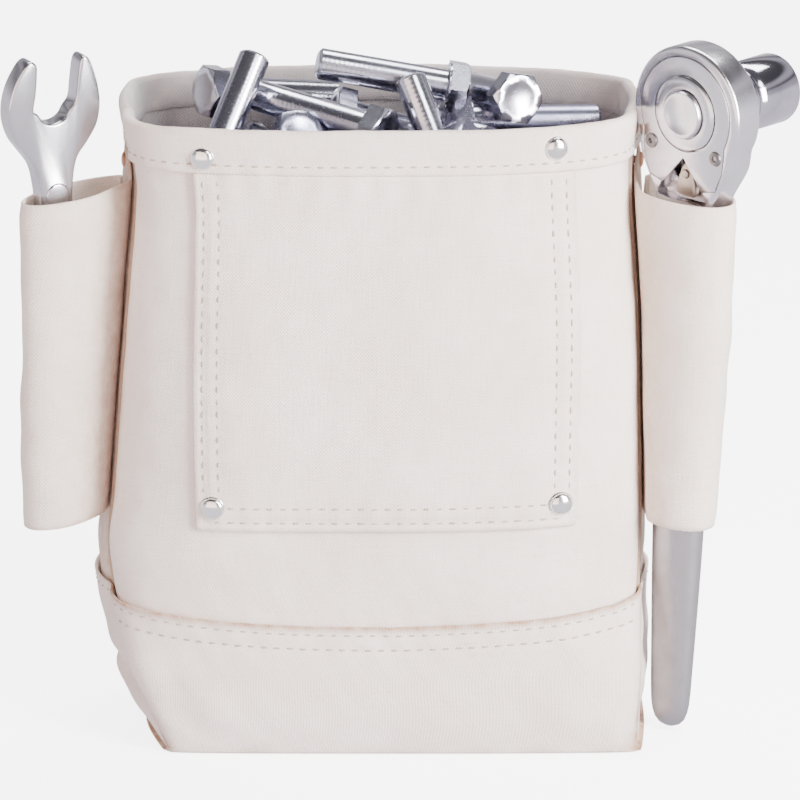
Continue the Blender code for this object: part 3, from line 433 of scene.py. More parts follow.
def relief(side, u, s, length, z):
    """How far the cloth stands out of the plain wall: slack, sag folds, puckers at the seams."""
    edge = fade(np.minimum(s, length - s), 9 * MM)
    rim = fade(BAG_HEIGHT + 3 * MM - z, 14 * MM)
    if side in ("left", "right"):
        low = bell(np.maximum(z - 30 * MM, 0), 34 * MM)
        crumple = 1.7 * ripple(s, z * 1.2, 38 * MM, 3 if side == "left" else 5) * low
        notch = -3.6 * bell(z - 31 * MM + 0.25 * (s - 0.5 * length), 5.5 * MM)
        if side == "right":
            notch = notch * 0.25
        upper = 0.25 * ripple(s, z, 45 * MM, 6) * (1 - low)
        return (crumple + notch + upper) * edge * fade(z, 12 * MM) * MM
    slack = 0.75 * ripple(s, z * 0.8, 88 * MM, 1 if side == "front" else 4)
    sag = 0.9 * np.sin((z - 76 * MM) / (9.5 * MM) + 5 * u) * bell(z - 76 * MM, 15 * MM)
    sag = sag * (0.35 + 0.65 * bell(u - 0.16, 0.2) + 0.4 * bell(u - 0.83, 0.14))
    small = 0.16 * ripple(s, z, 17 * MM, 2)
    corner = np.minimum(s, length - s)
    crush = 1.3 * ripple(s * 1.3, z, 31 * MM, 7) * bell(corner - 12 * MM, 26 * MM)
    crush = crush * bell(z - 26 * MM, 26 * MM)
    hem_line = BAG_HEIGHT - HEM_DEPTH
    pucker = 0.2 * np.sin(2 * np.pi * s / (11.5 * MM) + 2 * np.sin(s / (40 * MM)))
    pucker = pucker * bell(z - hem_line + 3 * MM, 9 * MM)
    boot = 0.22 * np.sin(2 * np.pi * s / (13 * MM)) * bell(z - boot_height(u) + 6 * MM, 9 * MM)
    return (slack + sag + small + crush + pucker + boot) * edge * rim * fade(z, 16 * MM) * MM


def wall_row(side, shares, z, offset=0.0, plain=False):
    """Points along one side at a height, or at one height for each share, and their normals."""
    shares = np.asarray(shares, float)
    heights = np.broadcast_to(np.asarray(z, float), shares.shape)
    points, normals = np.zeros((len(shares), 3)), np.zeros((len(shares), 3))
    for h in np.unique(np.round(heights, 6)):
        here = np.abs(heights - h) < 1e-6
        plan, out, lengths = wall_line(side, h)
        s = np.clip(shares[here], 0, 1) * lengths[-1]
        xy = np.stack([np.interp(s, lengths, plan[:, k]) for k in range(2)], 1)
        n = np.stack([np.interp(s, lengths, out[:, k]) for k in range(2)], 1)
        n /= np.linalg.norm(n, axis=1)[:, None]
        lift = 0.0 if plain else relief(side, shares[here], s, lengths[-1], h)
        total = np.broadcast_to(lift, s.shape) + np.broadcast_to(offset, shares.shape)[here]
        points[here, :2] = xy + n * total[:, None]
        points[here, 2] = h
        normals[here, :2] = n
    return points, normals


def wall_length(side, z):
    return wall_line(side, z)[2][-1]


# ------------------------------------------------------------------ meshes


def add_piece(obj, body, slot_name, *nodes):
    """Puts a piece on a body in place of CAD nodes. The slot name is not used."""
    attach(obj, body)
    if nodes:
        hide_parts(*nodes)
    return obj


def linked(name, data):
    obj = bpy.data.objects.new(name, data)
    bpy.context.scene.collection.objects.link(obj)
    return obj


def make_object(name, verts, faces, finish, uvs=None, tan=None, sharp=None, inside_shade=None):
    mesh = bpy.data.meshes.new(name)
    mesh.from_pydata(np.asarray(verts, float).tolist(), [], faces)
    mesh.validate()
    if uvs is not None:
        layer = mesh.uv_layers.new(name="UVMap")
        index = np.zeros(len(mesh.loops), np.int32)
        mesh.loops.foreach_get("vertex_index", index)
        layer.data.foreach_set("uv", np.asarray(uvs, float)[index].ravel())
    # Both attributes carry painted shade to the canvas material.
    for label, values in (("tan", tan), ("inside_shade", inside_shade)):
        if values is not None:
            attribute = mesh.attributes.new(label, "FLOAT", "POINT")
            attribute.data.foreach_set("value", np.asarray(values, float).ravel())
    mesh.shade_smooth()
    if sharp is not None:
        mesh.set_sharp_from_angle(angle=math.radians(sharp))
    mesh.materials.append(finish)
    return linked(name, mesh)


def grid_lengths(grid, axis):
    steps = np.linalg.norm(np.diff(grid, axis=axis), axis=2)
    zero = np.zeros_like(np.take(steps, [0], axis=axis))
    return np.concatenate([zero, np.cumsum(steps, axis=axis)], axis=axis)


def grid_normals(grid, closed=False):
    if closed:
        along = np.roll(grid, -1, axis=1) - np.roll(grid, 1, axis=1)
    else:
        along = np.gradient(grid, axis=1)
    up = np.gradient(grid, axis=0)
    n = np.cross(along, up)
    return n / np.maximum(np.linalg.norm(n, axis=2), 1e-12)[:, :, None]


def cloth(name, outer, finish, thickness, tan=None, closed=False, flip=False, inside=0.0, outer_shade=None):
    """A ply of cloth under a grid of points on its outer face, with a rounded cut edge. inside and dust
    give the painted shade that darkens its inner face and each point of its outer face."""
    outer = np.asarray(outer, float)
    rows, columns = outer.shape[:2]
    n = grid_normals(outer, closed) * (-1.0 if flip else 1.0)
    inner = outer - n * thickness
    size = rows * columns
    verts = [outer.reshape(-1, 3), inner.reshape(-1, 3)]
    uvs = np.stack([grid_lengths(outer, 1), grid_lengths(outer, 0)], 2).reshape(-1, 2)
    uv_parts = [uvs, uvs]
    shade = np.zeros((rows, columns)) if tan is None else np.broadcast_to(tan, (rows, columns))
    shade = shade.reshape(-1)
    shades = [shade, shade]
    index = np.arange(size).reshape(rows, columns)
    faces = []
    wide = columns if closed else columns - 1
    for i in range(rows - 1):
        for j in range(wide):
            k = (j + 1) % columns
            a, b, c, d = index[i, j], index[i, k], index[i + 1, k], index[i + 1, j]
            quad = (a, d, c, b) if flip else (a, b, c, d)
            faces.append(quad)
            faces.append(tuple(x + size for x in reversed(quad)))
    if closed:
        loops = [(list(index[0]), list(index[1])), (list(index[-1])[::-1], list(index[-2])[::-1])]
    else:
        ring = list(index[0, :-1]) + list(index[:-1, -1]) + list(index[-1, :0:-1]) + list(index[:0:-1, 0])
        middle = index[1:-1, 1:-1]
        near = list(middle[0, np.clip(np.arange(columns - 1) - 1, 0, columns - 3)])
        near += list(middle[np.clip(np.arange(rows - 1) - 1, 0, rows - 3), -1])
        near += list(middle[-1, np.clip(np.arange(columns - 1, 0, -1) - 1, 0, columns - 3)])
        near += list(middle[np.clip(np.arange(rows - 1, 0, -1) - 1, 0, rows - 3), 0])
        loops = [(ring, near)]
    start = 2 * size
    flat_outer = outer.reshape(-1, 3)
    flat_normal = n.reshape(-1, 3)
    for ring, near in loops:
        away = flat_outer[ring] - flat_outer[near]
        away -= flat_normal[ring] * np.sum(away * flat_normal[ring], axis=1)[:, None]
        away /= np.maximum(np.linalg.norm(away, axis=1), 1e-12)[:, None]
        edge = flat_outer[ring] - flat_normal[ring] * thickness / 2 + away * thickness * 0.4
        verts.append(edge)
        uv_parts.append(uvs[ring])
        shades.append(shade[ring])
        count = len(ring)
        for a in range(count):
            b = (a + 1) % count
            first = (ring[a], start + a, start + b, ring[b])
            second = (start + a, ring[a] + size, ring[b] + size, start + b)
            if flip:
                first, second = first[::-1], second[::-1]
            faces += [first, second]
        start += count
    faces = [tuple(int(x) for x in face) for face in faces]
    outside = np.zeros((rows, columns)) if outer_shade is None else np.broadcast_to(outer_shade, (rows, columns))
    edges = np.zeros(sum(len(part) for part in shades[2:]))
    inside_shade = np.concatenate([outside.reshape(-1), np.full(size, inside), edges])
    return make_object(
        name,
        np.concatenate(verts),
        faces,
        finish,
        np.concatenate(uv_parts),
        np.concatenate(shades),
        inside_shade=inside_shade,
    )


def spread(start, end, step=STEP):
    return np.linspace(start, end, max(3, int(round(abs(end - start) / step)) + 1))


def shares_between(side, z, start, end, step=STEP):
    return np.linspace(start, end, max(4, int(round((end - start) * wall_length(side, z) / step)) + 1))


# ------------------------------------------------------------------ stitches


def stitch_verts(line, normals, pitch, length, radius):
    """Stitches along a line on the cloth. Each dips into the cloth at its two ends."""
    line, normals = np.asarray(line, float), np.asarray(normals, float)
    along = np.concatenate([[0], np.cumsum(np.linalg.norm(np.diff(line, axis=0), axis=1))])
    count = max(1, int(along[-1] // pitch))
    start = (along[-1] - count * pitch + pitch - length) / 2
    verts, faces = [], []
    stations = np.linspace(0, 1, 7)
    sides = 6
    for k in range(count):
        s = start + k * pitch + stations * length
        centre = np.stack([np.interp(s, along, line[:, i]) for i in range(3)], 1)
        n = np.stack([np.interp(s, along, normals[:, i]) for i in range(3)], 1)
        n /= np.linalg.norm(n, axis=1)[:, None]
        arch = np.sin(np.pi * stations) ** 0.5
        centre = centre + n * (radius * (1.25 * arch - 1.0))[:, None]
        tangent = np.gradient(centre, axis=0)
        tangent /= np.linalg.norm(tangent, axis=1)[:, None]
        beside = np.cross(tangent, n)
        first = len(verts)
        for i in range(len(stations)):
            r = radius * (0.6 + 0.4 * arch[i])
            for j in range(sides):
                angle = 2 * math.pi * j / sides
                verts.append(centre[i] + r * (beside[i] * math.cos(angle) + n[i] * math.sin(angle)))
        for i in range(len(stations) - 1):
            for j in range(sides):
                a, b = first + i * sides + j, first + i * sides + (j + 1) % sides
                faces.append((a, b, b + sides, a + sides))
        faces.append(tuple(first + j for j in range(sides))[::-1])
        last = first + (len(stations) - 1) * sides
        faces.append(tuple(last + j for j in range(sides)))
    return verts, faces


def stitching(name, rows, finish, pitch=STITCH_PITCH, length=STITCH_LENGTH, radius=THREAD_RADIUS):
    """One piece with the stitches of several rows, each (points, normals)."""
    verts, faces = [], []
    for line, normals in rows:
        v, f = stitch_verts(line, normals, pitch, length, radius)
        faces += [tuple(len(verts) + i for i in face) for face in f]
        verts += v
    return make_object(name, verts, faces, finish)


def bartack(centre, across, along, normal):
    """Close stitches side by side, as (points, normals) rows."""
    width, length = 3.2 * MM, 6.5 * MM
    rows = []
    for k in range(7):
        shift = across * (width * (k / 6 - 0.5))
        line = [centre + shift - along * length / 2, centre + shift + along * length / 2]
        rows.append((np.array(line), np.array([normal, normal])))
    return rows


# ------------------------------------------------------------------ the bag's cloth


def seam_shade(shares, length, strength=0.75):
    """Painted shade along the two upright seams: a warm dark line where the seam lies in shadow."""
    s, reach = shares * length, 2.2 * MM
    return strength * (np.exp(-s / reach) + np.exp(-(length - s) / reach))


def make_walls():
    for side, name in (
        ("front", "front_panel"),
        ("back", "back_panel"),
        ("left", "left_gusset"),
        ("right", "right_gusset"),
    ):
        inset = 1.1 * MM / wall_length(side, 0.12)
        shares = shares_between(side, 0.12, inset, 1 - inset)
        heights = spread(BASE_LIFT, BAG_HEIGHT - 1.2 * MM)
        rows = np.array([wall_row(side, shares, z)[0] for z in heights])
        # Painted shade: a dark line down each upright seam, more shade on the left gusset than on the right,
        # and a little darker at the foot of the wall.
        tan = np.array([seam_shade(shares, wall_length(side, z)) for z in heights])
        if side in ("left", "right"):
            tan = tan * 0.6 + (0.5 if side == "left" else 0.34)
        tan = tan + 0.12 * bell(heights - BASE_LIFT, 5 * MM)[:, None]
        # inside=0.9 gives the walls' inner faces painted shade.
        obj = cloth(name + "_cloth", rows, CANVAS, CLOTH, tan, inside=0.9)
        add_piece(obj, "bag", "canvas", name)


def base_grid(inset, z):
    """Points of the base from front to back: u runs left to right, and the two ends swell."""
    us = shares_between("front", 0.0, 0.0, 1.0)
    vs = np.linspace(0, 1, 40)
    front = wall_row("front", us, 0.0, -inset, plain=True)[0]
    back = wall_row("back", 1 - us, 0.0, -inset, plain=True)[0]
    values = wall_values(0.0)
    grid = front[None] * (1 - vs)[:, None, None] + back[None] * vs[:, None, None]
    swell = np.sin(np.pi * vs)[:, None]
    grid[:, :, 0] += swell * (us * values[5] - (1 - us) * values[4])
    grid[:, :, 0] += inset * ((1 - us) ** 8 - us**8)
    grid[:, :, 2] = z
    return grid, us


def make_base():
    grid, _ = base_grid(1.0 * MM, 3.5 * MM)
    grid[:, :, 2] += 0.12 * MM * ripple(grid[:, :, 0], grid[:, :, 1], 40 * MM, 8)
    obj = cloth("base_panel_cloth", grid, CANVAS, PLY)
    add_piece(obj, "bag", "canvas", "base_panel")


def boot_side_rows(side, us, depths):
    """Rows of the boot up one long side, from its top edge down, by share of its height."""
    rows = []
    turned = us if side == "front" else 1 - us
    for depth in depths:
        z = boot_height(us) * (1 - depth)
        curl = 0.5 * MM * bell(depth, 0.05)
        dip = 0.3 * MM * (
            bell(z - boot_height(us) + FIRST_ROW, 1.4 * MM) + bell(z - boot_height(us) + SECOND_ROW, 1.4 * MM)
        )
        ends = fade(np.minimum(us, 1 - us) * 200 * MM, 6 * MM)
        rows.append(wall_row(side, turned, z, OVERLAY + (curl - dip) * ends)[0])
    return rows


def make_boot():
    _, us = base_grid(0.0, 0.0)
    depths = np.concatenate([np.linspace(0, 0.25, 12)[:-1], np.linspace(0.25, 0.97, 20)])
    front = boot_side_rows("front", us, depths)
    bottom = base_grid(-OVERLAY, 0.0)[0]
    edge = np.linspace(0, 1, bottom.shape[0])[:, None]
    bottom[:, :, 2] = 0.45 * MM * (bell(edge, 0.02) + bell(1 - edge, 0.02))
    back = boot_side_rows("back", us, depths)[::-1]
    rows = np.array(front + list(bottom) + back)[::-1]
    # Painted shade: a dark line along the boot's two top edges and down its ends; darker along the floor
    # edge, in patches.
    tan = np.zeros(rows.shape[:2])
    patches = 0.5 + 0.5 * ripple(rows[:, :, 0], rows[:, :, 1], 30 * MM, 2)
    tan += 0.42 * bell(rows[:, :, 2], 3.5 * MM) * patches
    tan += seam_shade(np.linspace(0, 1, rows.shape[1])[None], 230 * MM, strength=0.95)
    tan[:1] += 0.75
    tan[-1:] += 0.75
    tan[1] += 0.35
    tan[-2] += 0.35
    obj = cloth("boot_wrap_cloth", rows, CANVAS, PLY, np.clip(tan, 0, 1))
    add_piece(obj, "bag", "canvas", "boot_wrap")
    lines = []
    for side in ("front", "back"):
        inner = us[3:-3]
        for below in (FIRST_ROW, SECOND_ROW):
            turned = inner if side == "front" else 1 - inner
            z = boot_height(inner) - below
            lines.append(wall_row(side, turned, z, OVERLAY - 0.2 * MM))
    thread = stitching("boot_stitching", lines, THREAD)
    add_piece(thread, "bag", "tan_webbing")
    for side in ("left", "right"):
        inset = 1.2 * MM / wall_length(side, 0.03)
        shares = shares_between(side, 0.03, inset, 1 - inset)
        heights = spread(0.6 * MM, BOOT_SIDE_HEIGHT)
        curl = 0.5 * MM * bell(heights - BOOT_SIDE_HEIGHT, 2 * MM)
        side_rows = np.array([wall_row(side, shares, z, OVERLAY + c)[0] for z, c in zip(heights, curl)])
        # Painted shade on the boot's sides, darker along their seams.
        tan = 0.14 + np.array([0.5 * seam_shade(shares, wall_length(side, z)) for z in heights])
        piece = cloth(f"boot_{side}_cloth", side_rows, CANVAS, PLY, tan)
        add_piece(piece, "bag", "canvas", "boot_" + side)
        line = wall_row(side, shares[1:-1], BOOT_SIDE_HEIGHT - FIRST_ROW, OVERLAY)
        side_thread = stitching(f"boot_{side}_stitching", [line], THREAD)
        add_piece(side_thread, "bag", "tan_webbing")


def ring_row(z, offset):
    """One closed row round the four sides, with its normals."""
    points, normals = [], []
    for side in ("front", "right", "back", "left"):
        shares = shares_between(side, BAG_HEIGHT, 0, 1)[:-1]
        p, n = wall_row(side, shares, min(z, BAG_HEIGHT), offset)
        points.append(p)
        normals.append(n)
    points, normals = np.concatenate(points), np.concatenate(normals)
    for _ in range(2):
        normals = (np.roll(normals, 1, 0) + normals * 2 + np.roll(normals, -1, 0)) / 4
        normals /= np.linalg.norm(normals, axis=1)[:, None]
    points[:, 2] = z
    return points, normals


def make_hem():
    """The turned-over top edge: up the outside, over the rim and a little way down the inside."""
    low = BAG_HEIGHT - HEM_DEPTH
    top = BAG_HEIGHT
    section = [(OVERLAY + 0.35 * MM, low), (OVERLAY + 0.2 * MM, low + 1.2 * MM)]
    section += [(OVERLAY - 0.2 * MM, low + 3 * MM), (OVERLAY, low + 5 * MM)]
    section += [(OVERLAY + 0.25 * MM, z) for z in (low + 8 * MM, low + 11 * MM, low + 13.2 * MM)]
    middle, radius = -0.3 * MM, 2.3 * MM
    for angle in range(0, 181, 15):
        a = math.radians(angle)
        section.append((middle + radius * math.cos(a), top - 2.0 * MM + 2.0 * MM * math.sin(a)))
    section += [(middle - radius, z) for z in (top - 5 * MM, top - 8 * MM, top - 11 * MM, top - 14 * MM)]
    rows = []
    base = ring_row(BAG_HEIGHT, 0.0)[0]
    s = np.concatenate([[0], np.cumsum(np.linalg.norm(np.diff(base, axis=0), axis=1))])
    wave = 0.28 * MM * ripple(s, s * 0, 34 * MM, 5) + 0.12 * MM * ripple(s, s * 0, 12 * MM, 3)
    for offset, z in section:
        row, _ = ring_row(z, offset)
        row[:, 2] += wave * fade(z - low, 10 * MM)
        rows.append(row)
    rows = np.array(rows)
    # Darker along the top of the rim, in patches, and painted shade in a thin line along the hem's lower
    # edge.
    tan = 0.3 * bell(rows[:, :, 2] - top, 1.2 * MM) * (0.4 + 0.6 * ripple(s, s * 0, 25 * MM, 9))[None]
    tan = np.clip(tan + 0.12 * bell(rows[:, :, 2] - low, 1.0 * MM), 0, 1)
    inner_side = np.array([fade(middle - offset, 2 * MM) for offset, _ in section])
    # The hem's part down the inside of the rim gets painted shade on its outer face.
    obj = cloth("rim_hem_cloth", rows, CANVAS, 0.9 * MM, tan, closed=True, outer_shade=0.75 * inner_side[:, None])
    add_piece(obj, "bag", "canvas", "rim_hem")
    line, normals = ring_row(low + FIRST_ROW, OVERLAY - 0.2 * MM)
    line = np.concatenate([line, line[:1]])
    normals = np.concatenate([normals, normals[:1]])
    thread = stitching("hem_stitching", [(line, normals)], THREAD)
    add_piece(thread, "bag", "tan_webbing")


def patch_edges(z):
    t = min(max((z - PATCH_Z[0]) / (PATCH_Z[1] - PATCH_Z[0]), 0.0), 1.0)
    return [low + (high - low) * t for low, high in zip(PATCH_U_BOTTOM, PATCH_U_TOP)]


def make_patch():
    columns = len(shares_between("front", 0.15, *PATCH_U_BOTTOM, step=1.6 * MM))
    rows, edge_shades = [], []
    for z in spread(*PATCH_Z, step=1.6 * MM):
        length = wall_length("front", z)
        first, last = patch_edges(z)
        shares = np.linspace(first, last, columns)
        left, right = (shares - first) * length, (last - shares) * length
        below = z - PATCH_Z[0]
        side_edge = np.minimum(left, right)
        dip = 0.0
        for row in (FIRST_ROW, SECOND_ROW):
            dip = dip + 0.34 * MM * bell(side_edge - row, 1.3 * MM) * fade(below - row + 2 * MM, 2 * MM)
            dip = dip + 0.34 * MM * bell(below - row, 1.3 * MM) * fade(side_edge - row + 2 * MM, 2 * MM)
        edge = np.minimum(side_edge, below)
        pillow = 0.25 * MM * bell(edge - 6 * MM, 2.2 * MM) + 0.3 * MM * bell(edge, 1.1 * MM)
        pillow = pillow * fade(BAG_HEIGHT - HEM_DEPTH + 1 * MM - z, 5 * MM)
        ease = 0.2 * MM * np.sin(2 * np.pi * z / (12 * MM)) * bell(side_edge - 6 * MM, 6 * MM)
        gathers = np.sin(2 * np.pi * shares * length / (12 * MM))
        ease = ease + 0.2 * MM * gathers * bell(below - 6 * MM, 6 * MM)
        rows.append(wall_row("front", shares, z, OVERLAY - 0.1 * MM - dip + pillow + ease)[0])
        # Painted shade in a thin line along the patch's cut edges, and a little between its two stitch rows.
        edge_shades.append(0.2 * bell(edge, 0.8 * MM) + 0.06 * bell(edge - 6 * MM, 3 * MM))
    rows = np.array(rows)
    obj = cloth("front_patch_cloth", rows, CANVAS, PLY, np.array(edge_shades))
    add_piece(obj, "bag", "canvas", "front_patch")
    lines = []
    for row in (FIRST_ROW, SECOND_ROW):
        high = spread(PATCH_Z[0] + row, PATCH_Z[1] - 1 * MM)
        for edge, sign in ((0, 1), (1, -1)):
            points, normals = [], []
            for z in high:
                u = patch_edges(z)[edge] + sign * row / wall_length("front", z)
                p, n = wall_row("front", [u], z, OVERLAY - 0.35 * MM)
                points.append(p[0])
                normals.append(n[0])
            lines.append((np.array(points), np.array(normals)))
        z = PATCH_Z[0] + row
        inset = row / wall_length("front", z)
        first, last = patch_edges(z)
        along = shares_between("front", z, first + inset, last - inset)
        lines.append(wall_row("front", along, z, OVERLAY - 0.35 * MM))
    thread = stitching("patch_stitching", lines, THREAD)
    add_piece(thread, "bag", "tan_webbing")


def tunnel_standoff(z):
    low, high = TUNNEL_Z[0] + TUNNEL_FLANGE, TUNNEL_Z[1] - TUNNEL_FLANGE
    t = np.clip((z - low) / (high - low), 0, 1)
    return TUNNEL_STANDOFF * np.sin(np.pi * t) ** 0.6


def make_tunnel():
    """The loop of canvas on the back that the belt runs through."""
    shares = shares_between("back", 0.2, *TUNNEL_U)
    heights = spread(*TUNNEL_Z, step=1.2 * MM)
    rows = np.array([wall_row("back", shares, z, OVERLAY + tunnel_standoff(z))[0] for z in heights])
    side_edge = np.minimum(shares - TUNNEL_U[0], TUNNEL_U[1] - shares) * 0.2
    # Painted shade along the loop's side edges.
    tan = 0.15 * bell(side_edge, 1.2 * MM)[None] + np.zeros(rows.shape[:2])
    obj = cloth("belt_tunnel_cloth", rows, CANVAS, PLY, tan)
    add_piece(obj, "bag", "canvas", "belt_tunnel")
    lines = []
    for z in (TUNNEL_Z[0] + 3 * MM, TUNNEL_Z[0] + 9 * MM, TUNNEL_Z[1] - 3 * MM, TUNNEL_Z[1] - 9 * MM):
        lines.append(wall_row("back", shares[2:-2], z, OVERLAY))
    thread = stitching("tunnel_stitching", lines, THREAD)
    add_piece(thread, "bag", "tan_webbing")


def tube(name, path, radius, finish):
    """A round cord along a path with closed ends, with UVs in metres."""
    sides = 12
    path = np.asarray(path, float)
    tangent = np.gradient(path, axis=0)
    tangent /= np.linalg.norm(tangent, axis=1)[:, None]
    side = np.cross(tangent, [0.0, 1.0, 0.02])
    side /= np.linalg.norm(side, axis=1)[:, None]
    other = np.cross(tangent, side)
    ring = 2 * np.pi * np.arange(sides) / sides
    verts = (
        path[:, None]
        + radius * side[:, None] * np.cos(ring)[None, :, None]
        + radius * other[:, None] * np.sin(ring)[None, :, None]
    )
    count = len(path)
    faces = []
    for i in range(count - 1):
        for j in range(sides):
            k = (j + 1) % sides
            faces.append((i * sides + k, i * sides + j, (i + 1) * sides + j, (i + 1) * sides + k))
    faces.append(tuple(range(sides)))
    faces.append(tuple(range((count - 1) * sides, count * sides))[::-1])
    run = np.concatenate([[0], np.cumsum(np.linalg.norm(np.diff(path, axis=0), axis=1))])
    uvs = np.stack([np.tile(ring * radius, count), np.repeat(run, sides)], 1)
    return make_object(name, verts.reshape(-1, 3), faces, finish, uvs, sharp=50)


def make_piping():
    # The brown cords paint the shadow along the upright seams.
    heights = spread(3.0 * MM, BAG_HEIGHT - HEM_DEPTH + 1 * MM)
    for name, side, u in (
        ("welt_front_left", "front", 0.0),
        ("welt_front_right", "front", 1.0),
        ("welt_back_left", "back", 1.0),
        ("welt_back_right", "back", 0.0),
    ):
        tucked = [-2.4 * MM * fade(BOOT_SIDE_HEIGHT - z, 8 * MM) for z in heights]
        path = np.array([wall_row(side, [u], z, t)[0][0] for z, t in zip(heights, tucked)])
        path[:, 0] += 0.15 * MM * ripple(heights, heights * 0, 19 * MM, 4)
        obj = tube(name + "_piping", path, 1.25 * MM, PIPING_PAINTED_SHADE)
        add_piece(obj, "bag", "tan_webbing", name)


# ------------------------------------------------------------------ sleeves


def sleeve_line(side, share):
    """The sleeve's outer line at a share of its height, finer than the CAD's by the same rule."""
    spec = SLEEVES[side]
    low, high = spec["bottom"], spec["top"]
    turn, width, half, drop = (
        low[key] + (high[key] - low[key]) * share for key in ("turn", "width", "half", "drop")
    )
    z = SLEEVE_BOTTOM + (SLEEVE_TOP - SLEEVE_BOTTOM) * share
    sign = 1 if side == "right" else -1
    nearest = abs(wall_values(z)[1 if side == "right" else 0]) + SLEEVE_CLEARANCE
    turn = math.radians(turn)
    out = np.array((sign * math.cos(turn), -math.sin(turn)))
    across = np.array((sign * math.sin(turn), math.cos(turn)))
    shares = [u if side == "right" else 1 - u for u in SLEEVE_FLANGE_U]
    flange = wall_row(side, shares, z, OVERLAY)[0][:, :2]
    line = [(p, 0.0) for p in flange[:-1]]
    root = flange[-1]
    line.append((root - across * (0.4 * MM), 0.0))
    count = 40
    for i in range(2, count - 1):
        angle = 2 * math.pi * i / count
        reach = (1 - math.cos(angle)) / 2
        belly = math.sin(math.pi * reach ** spec["fullness"]) ** 0.47
        face = -1 if angle <= math.pi else 1
        point = root + out * ((width - 2.6 * MM) * reach) + across * (half * belly * face)
        point[0] = sign * max(abs(point[0]), nearest)
        line.append((point, drop * reach))
    line.append((root + across * (PLY + 0.96 * MM) + out * (3.0 * MM), 0.0))
    return line


def resampled(points, count):
    """The polyline cut corner by corner into a smooth one, with evenly spaced points."""
    line = np.asarray(points, float)
    for _ in range(2):
        near, far = line[:-1] * 0.75 + line[1:] * 0.25, line[:-1] * 0.25 + line[1:] * 0.75
        cut = np.empty((2 * len(near), line.shape[1]))
        cut[0::2], cut[1::2] = near, far
        line = np.concatenate([line[:1], cut, line[-1:]])
    run = np.concatenate([[0], np.cumsum(np.linalg.norm(np.diff(line, axis=0), axis=1))])
    at = np.linspace(0, run[-1], count)
    return np.stack([np.interp(at, run, line[:, k]) for k in range(line.shape[1])], 1)


def make_sleeves():
    for side in ("left", "right"):
        rows = []
        for share in np.linspace(0, 1, 72):
            middle = SLEEVE_BOTTOM + (SLEEVE_TOP - SLEEVE_BOTTOM) * share
            flange = SLEEVE_FLANGE_BOTTOM + (SLEEVE_FLANGE_TOP - SLEEVE_FLANGE_BOTTOM) * share
            line = []
            for i, (point, drop) in enumerate(sleeve_line(side, share)):
                blend = (1.0, 1.0, 0.7, 0.35)[i] if i < 4 else 0.0
                line.append((point[0], point[1], middle + (flange - middle) * blend - drop))
            rows.append(resampled(line, 76))
        rows = np.array(rows)
        flip = side == "left"
        n = grid_normals(rows) * (1.0 if flip else -1.0)
        s = grid_lengths(rows, 1)
        height = rows[:, :, 2]
        free = fade(s - 20 * MM, 12 * MM)
        wave = 0.55 * ripple(s, height * 0.7, 48 * MM, 2 if side == "left" else 6)
        wave = wave + 0.22 * ripple(s, height, 19 * MM, 4)
        share = np.linspace(0, 1, len(rows))[:, None]
        lip = 0.7 * bell(1 - share, 0.025) + 0.4 * bell(share, 0.02)
        rows = rows + n * ((wave + lip) * free * MM)[:, :, None]
        # Painted shade: thin lines at the sleeve's two ends, and a warm shade near the bag, where the sleeve
        # lies in the bag's shadow.
        tan = 0.1 * bell(1 - share, 0.012) + 0.22 * bell(share, 0.012)
        tan = tan + 0.5 * (1 - fade(s - 14 * MM, 40 * MM))
        obj = cloth(side + "_sleeve_cloth", rows, SLEEVE_CANVAS_SHADED, PLY, np.clip(tan, 0, 1), flip=not flip)
        add_piece(obj, "bag", "canvas", side + "_sleeve")
        lines = []
        for shift in (0.455, 0.33):
            heights = spread(SLEEVE_FLANGE_BOTTOM + 5 * MM, SLEEVE_FLANGE_TOP - 5 * MM)
            u = shift if side == "right" else 1 - shift
            line = [wall_row(side, [u], z, OVERLAY) for z in heights]
            lines.append((np.array([p[0] for p, _ in line]), np.array([m[0] for _, m in line])))
        thread = stitching(side + "_sleeve_stitching", lines, THREAD)
        add_piece(thread, "bag", "tan_webbing")


def make_bartacks():
    """Tan bartacks at the rim's corners and at the ends of the sleeves' seams."""
    rows = []
    up = np.array((0.0, 0.0, 1.0))
    places = [("front", 0.012, 243), ("front", 0.985, 246), ("left", 0.92, 246), ("right", 0.08, 246)]
    places += [("left", 0.60, 230.5), ("left", 0.60, 92), ("right", 0.40, 230.5), ("right", 0.40, 92)]
    for side, u, height in places:
        point, normal = wall_row(side, [u], height * MM, OVERLAY + 0.1 * MM)
        across = np.cross(up, normal[0])
        rows += bartack(point[0], across, up, normal[0])
    obj = stitching("bartacks", rows, THREAD_TAN, pitch=7 * MM, length=6.3 * MM, radius=0.33 * MM)
    add_piece(obj, "bag", "tan_webbing")


# ------------------------------------------------------------------ turned and cut metal


def turned(name, profile, finish, steps=64, sharp=32):
    """A turned solid about local Z from (radius, height) points in millimetres, top to bottom."""
    verts, faces = [], []
    ring = 2 * np.pi * np.arange(steps) / steps
    starts = []
    for r, h in profile:
        starts.append(len(verts))
        if r == 0:
            verts.append((0, 0, h * MM))
        else:
            verts += [(r * MM * math.cos(a), r * MM * math.sin(a), h * MM) for a in ring]
    for (r0, _), (r1, _), a, b in zip(profile, profile[1:], starts, starts[1:]):
        for j in range(steps):
            k = (j + 1) % steps
            if r0 == 0:
                faces.append((a, b + j, b + k))
            elif r1 == 0:
                faces.append((a + k, a + j, b))
            else:
                faces.append((a + j, b + j, b + k, a + k))
    return make_object(name, verts, faces, finish, sharp=sharp)


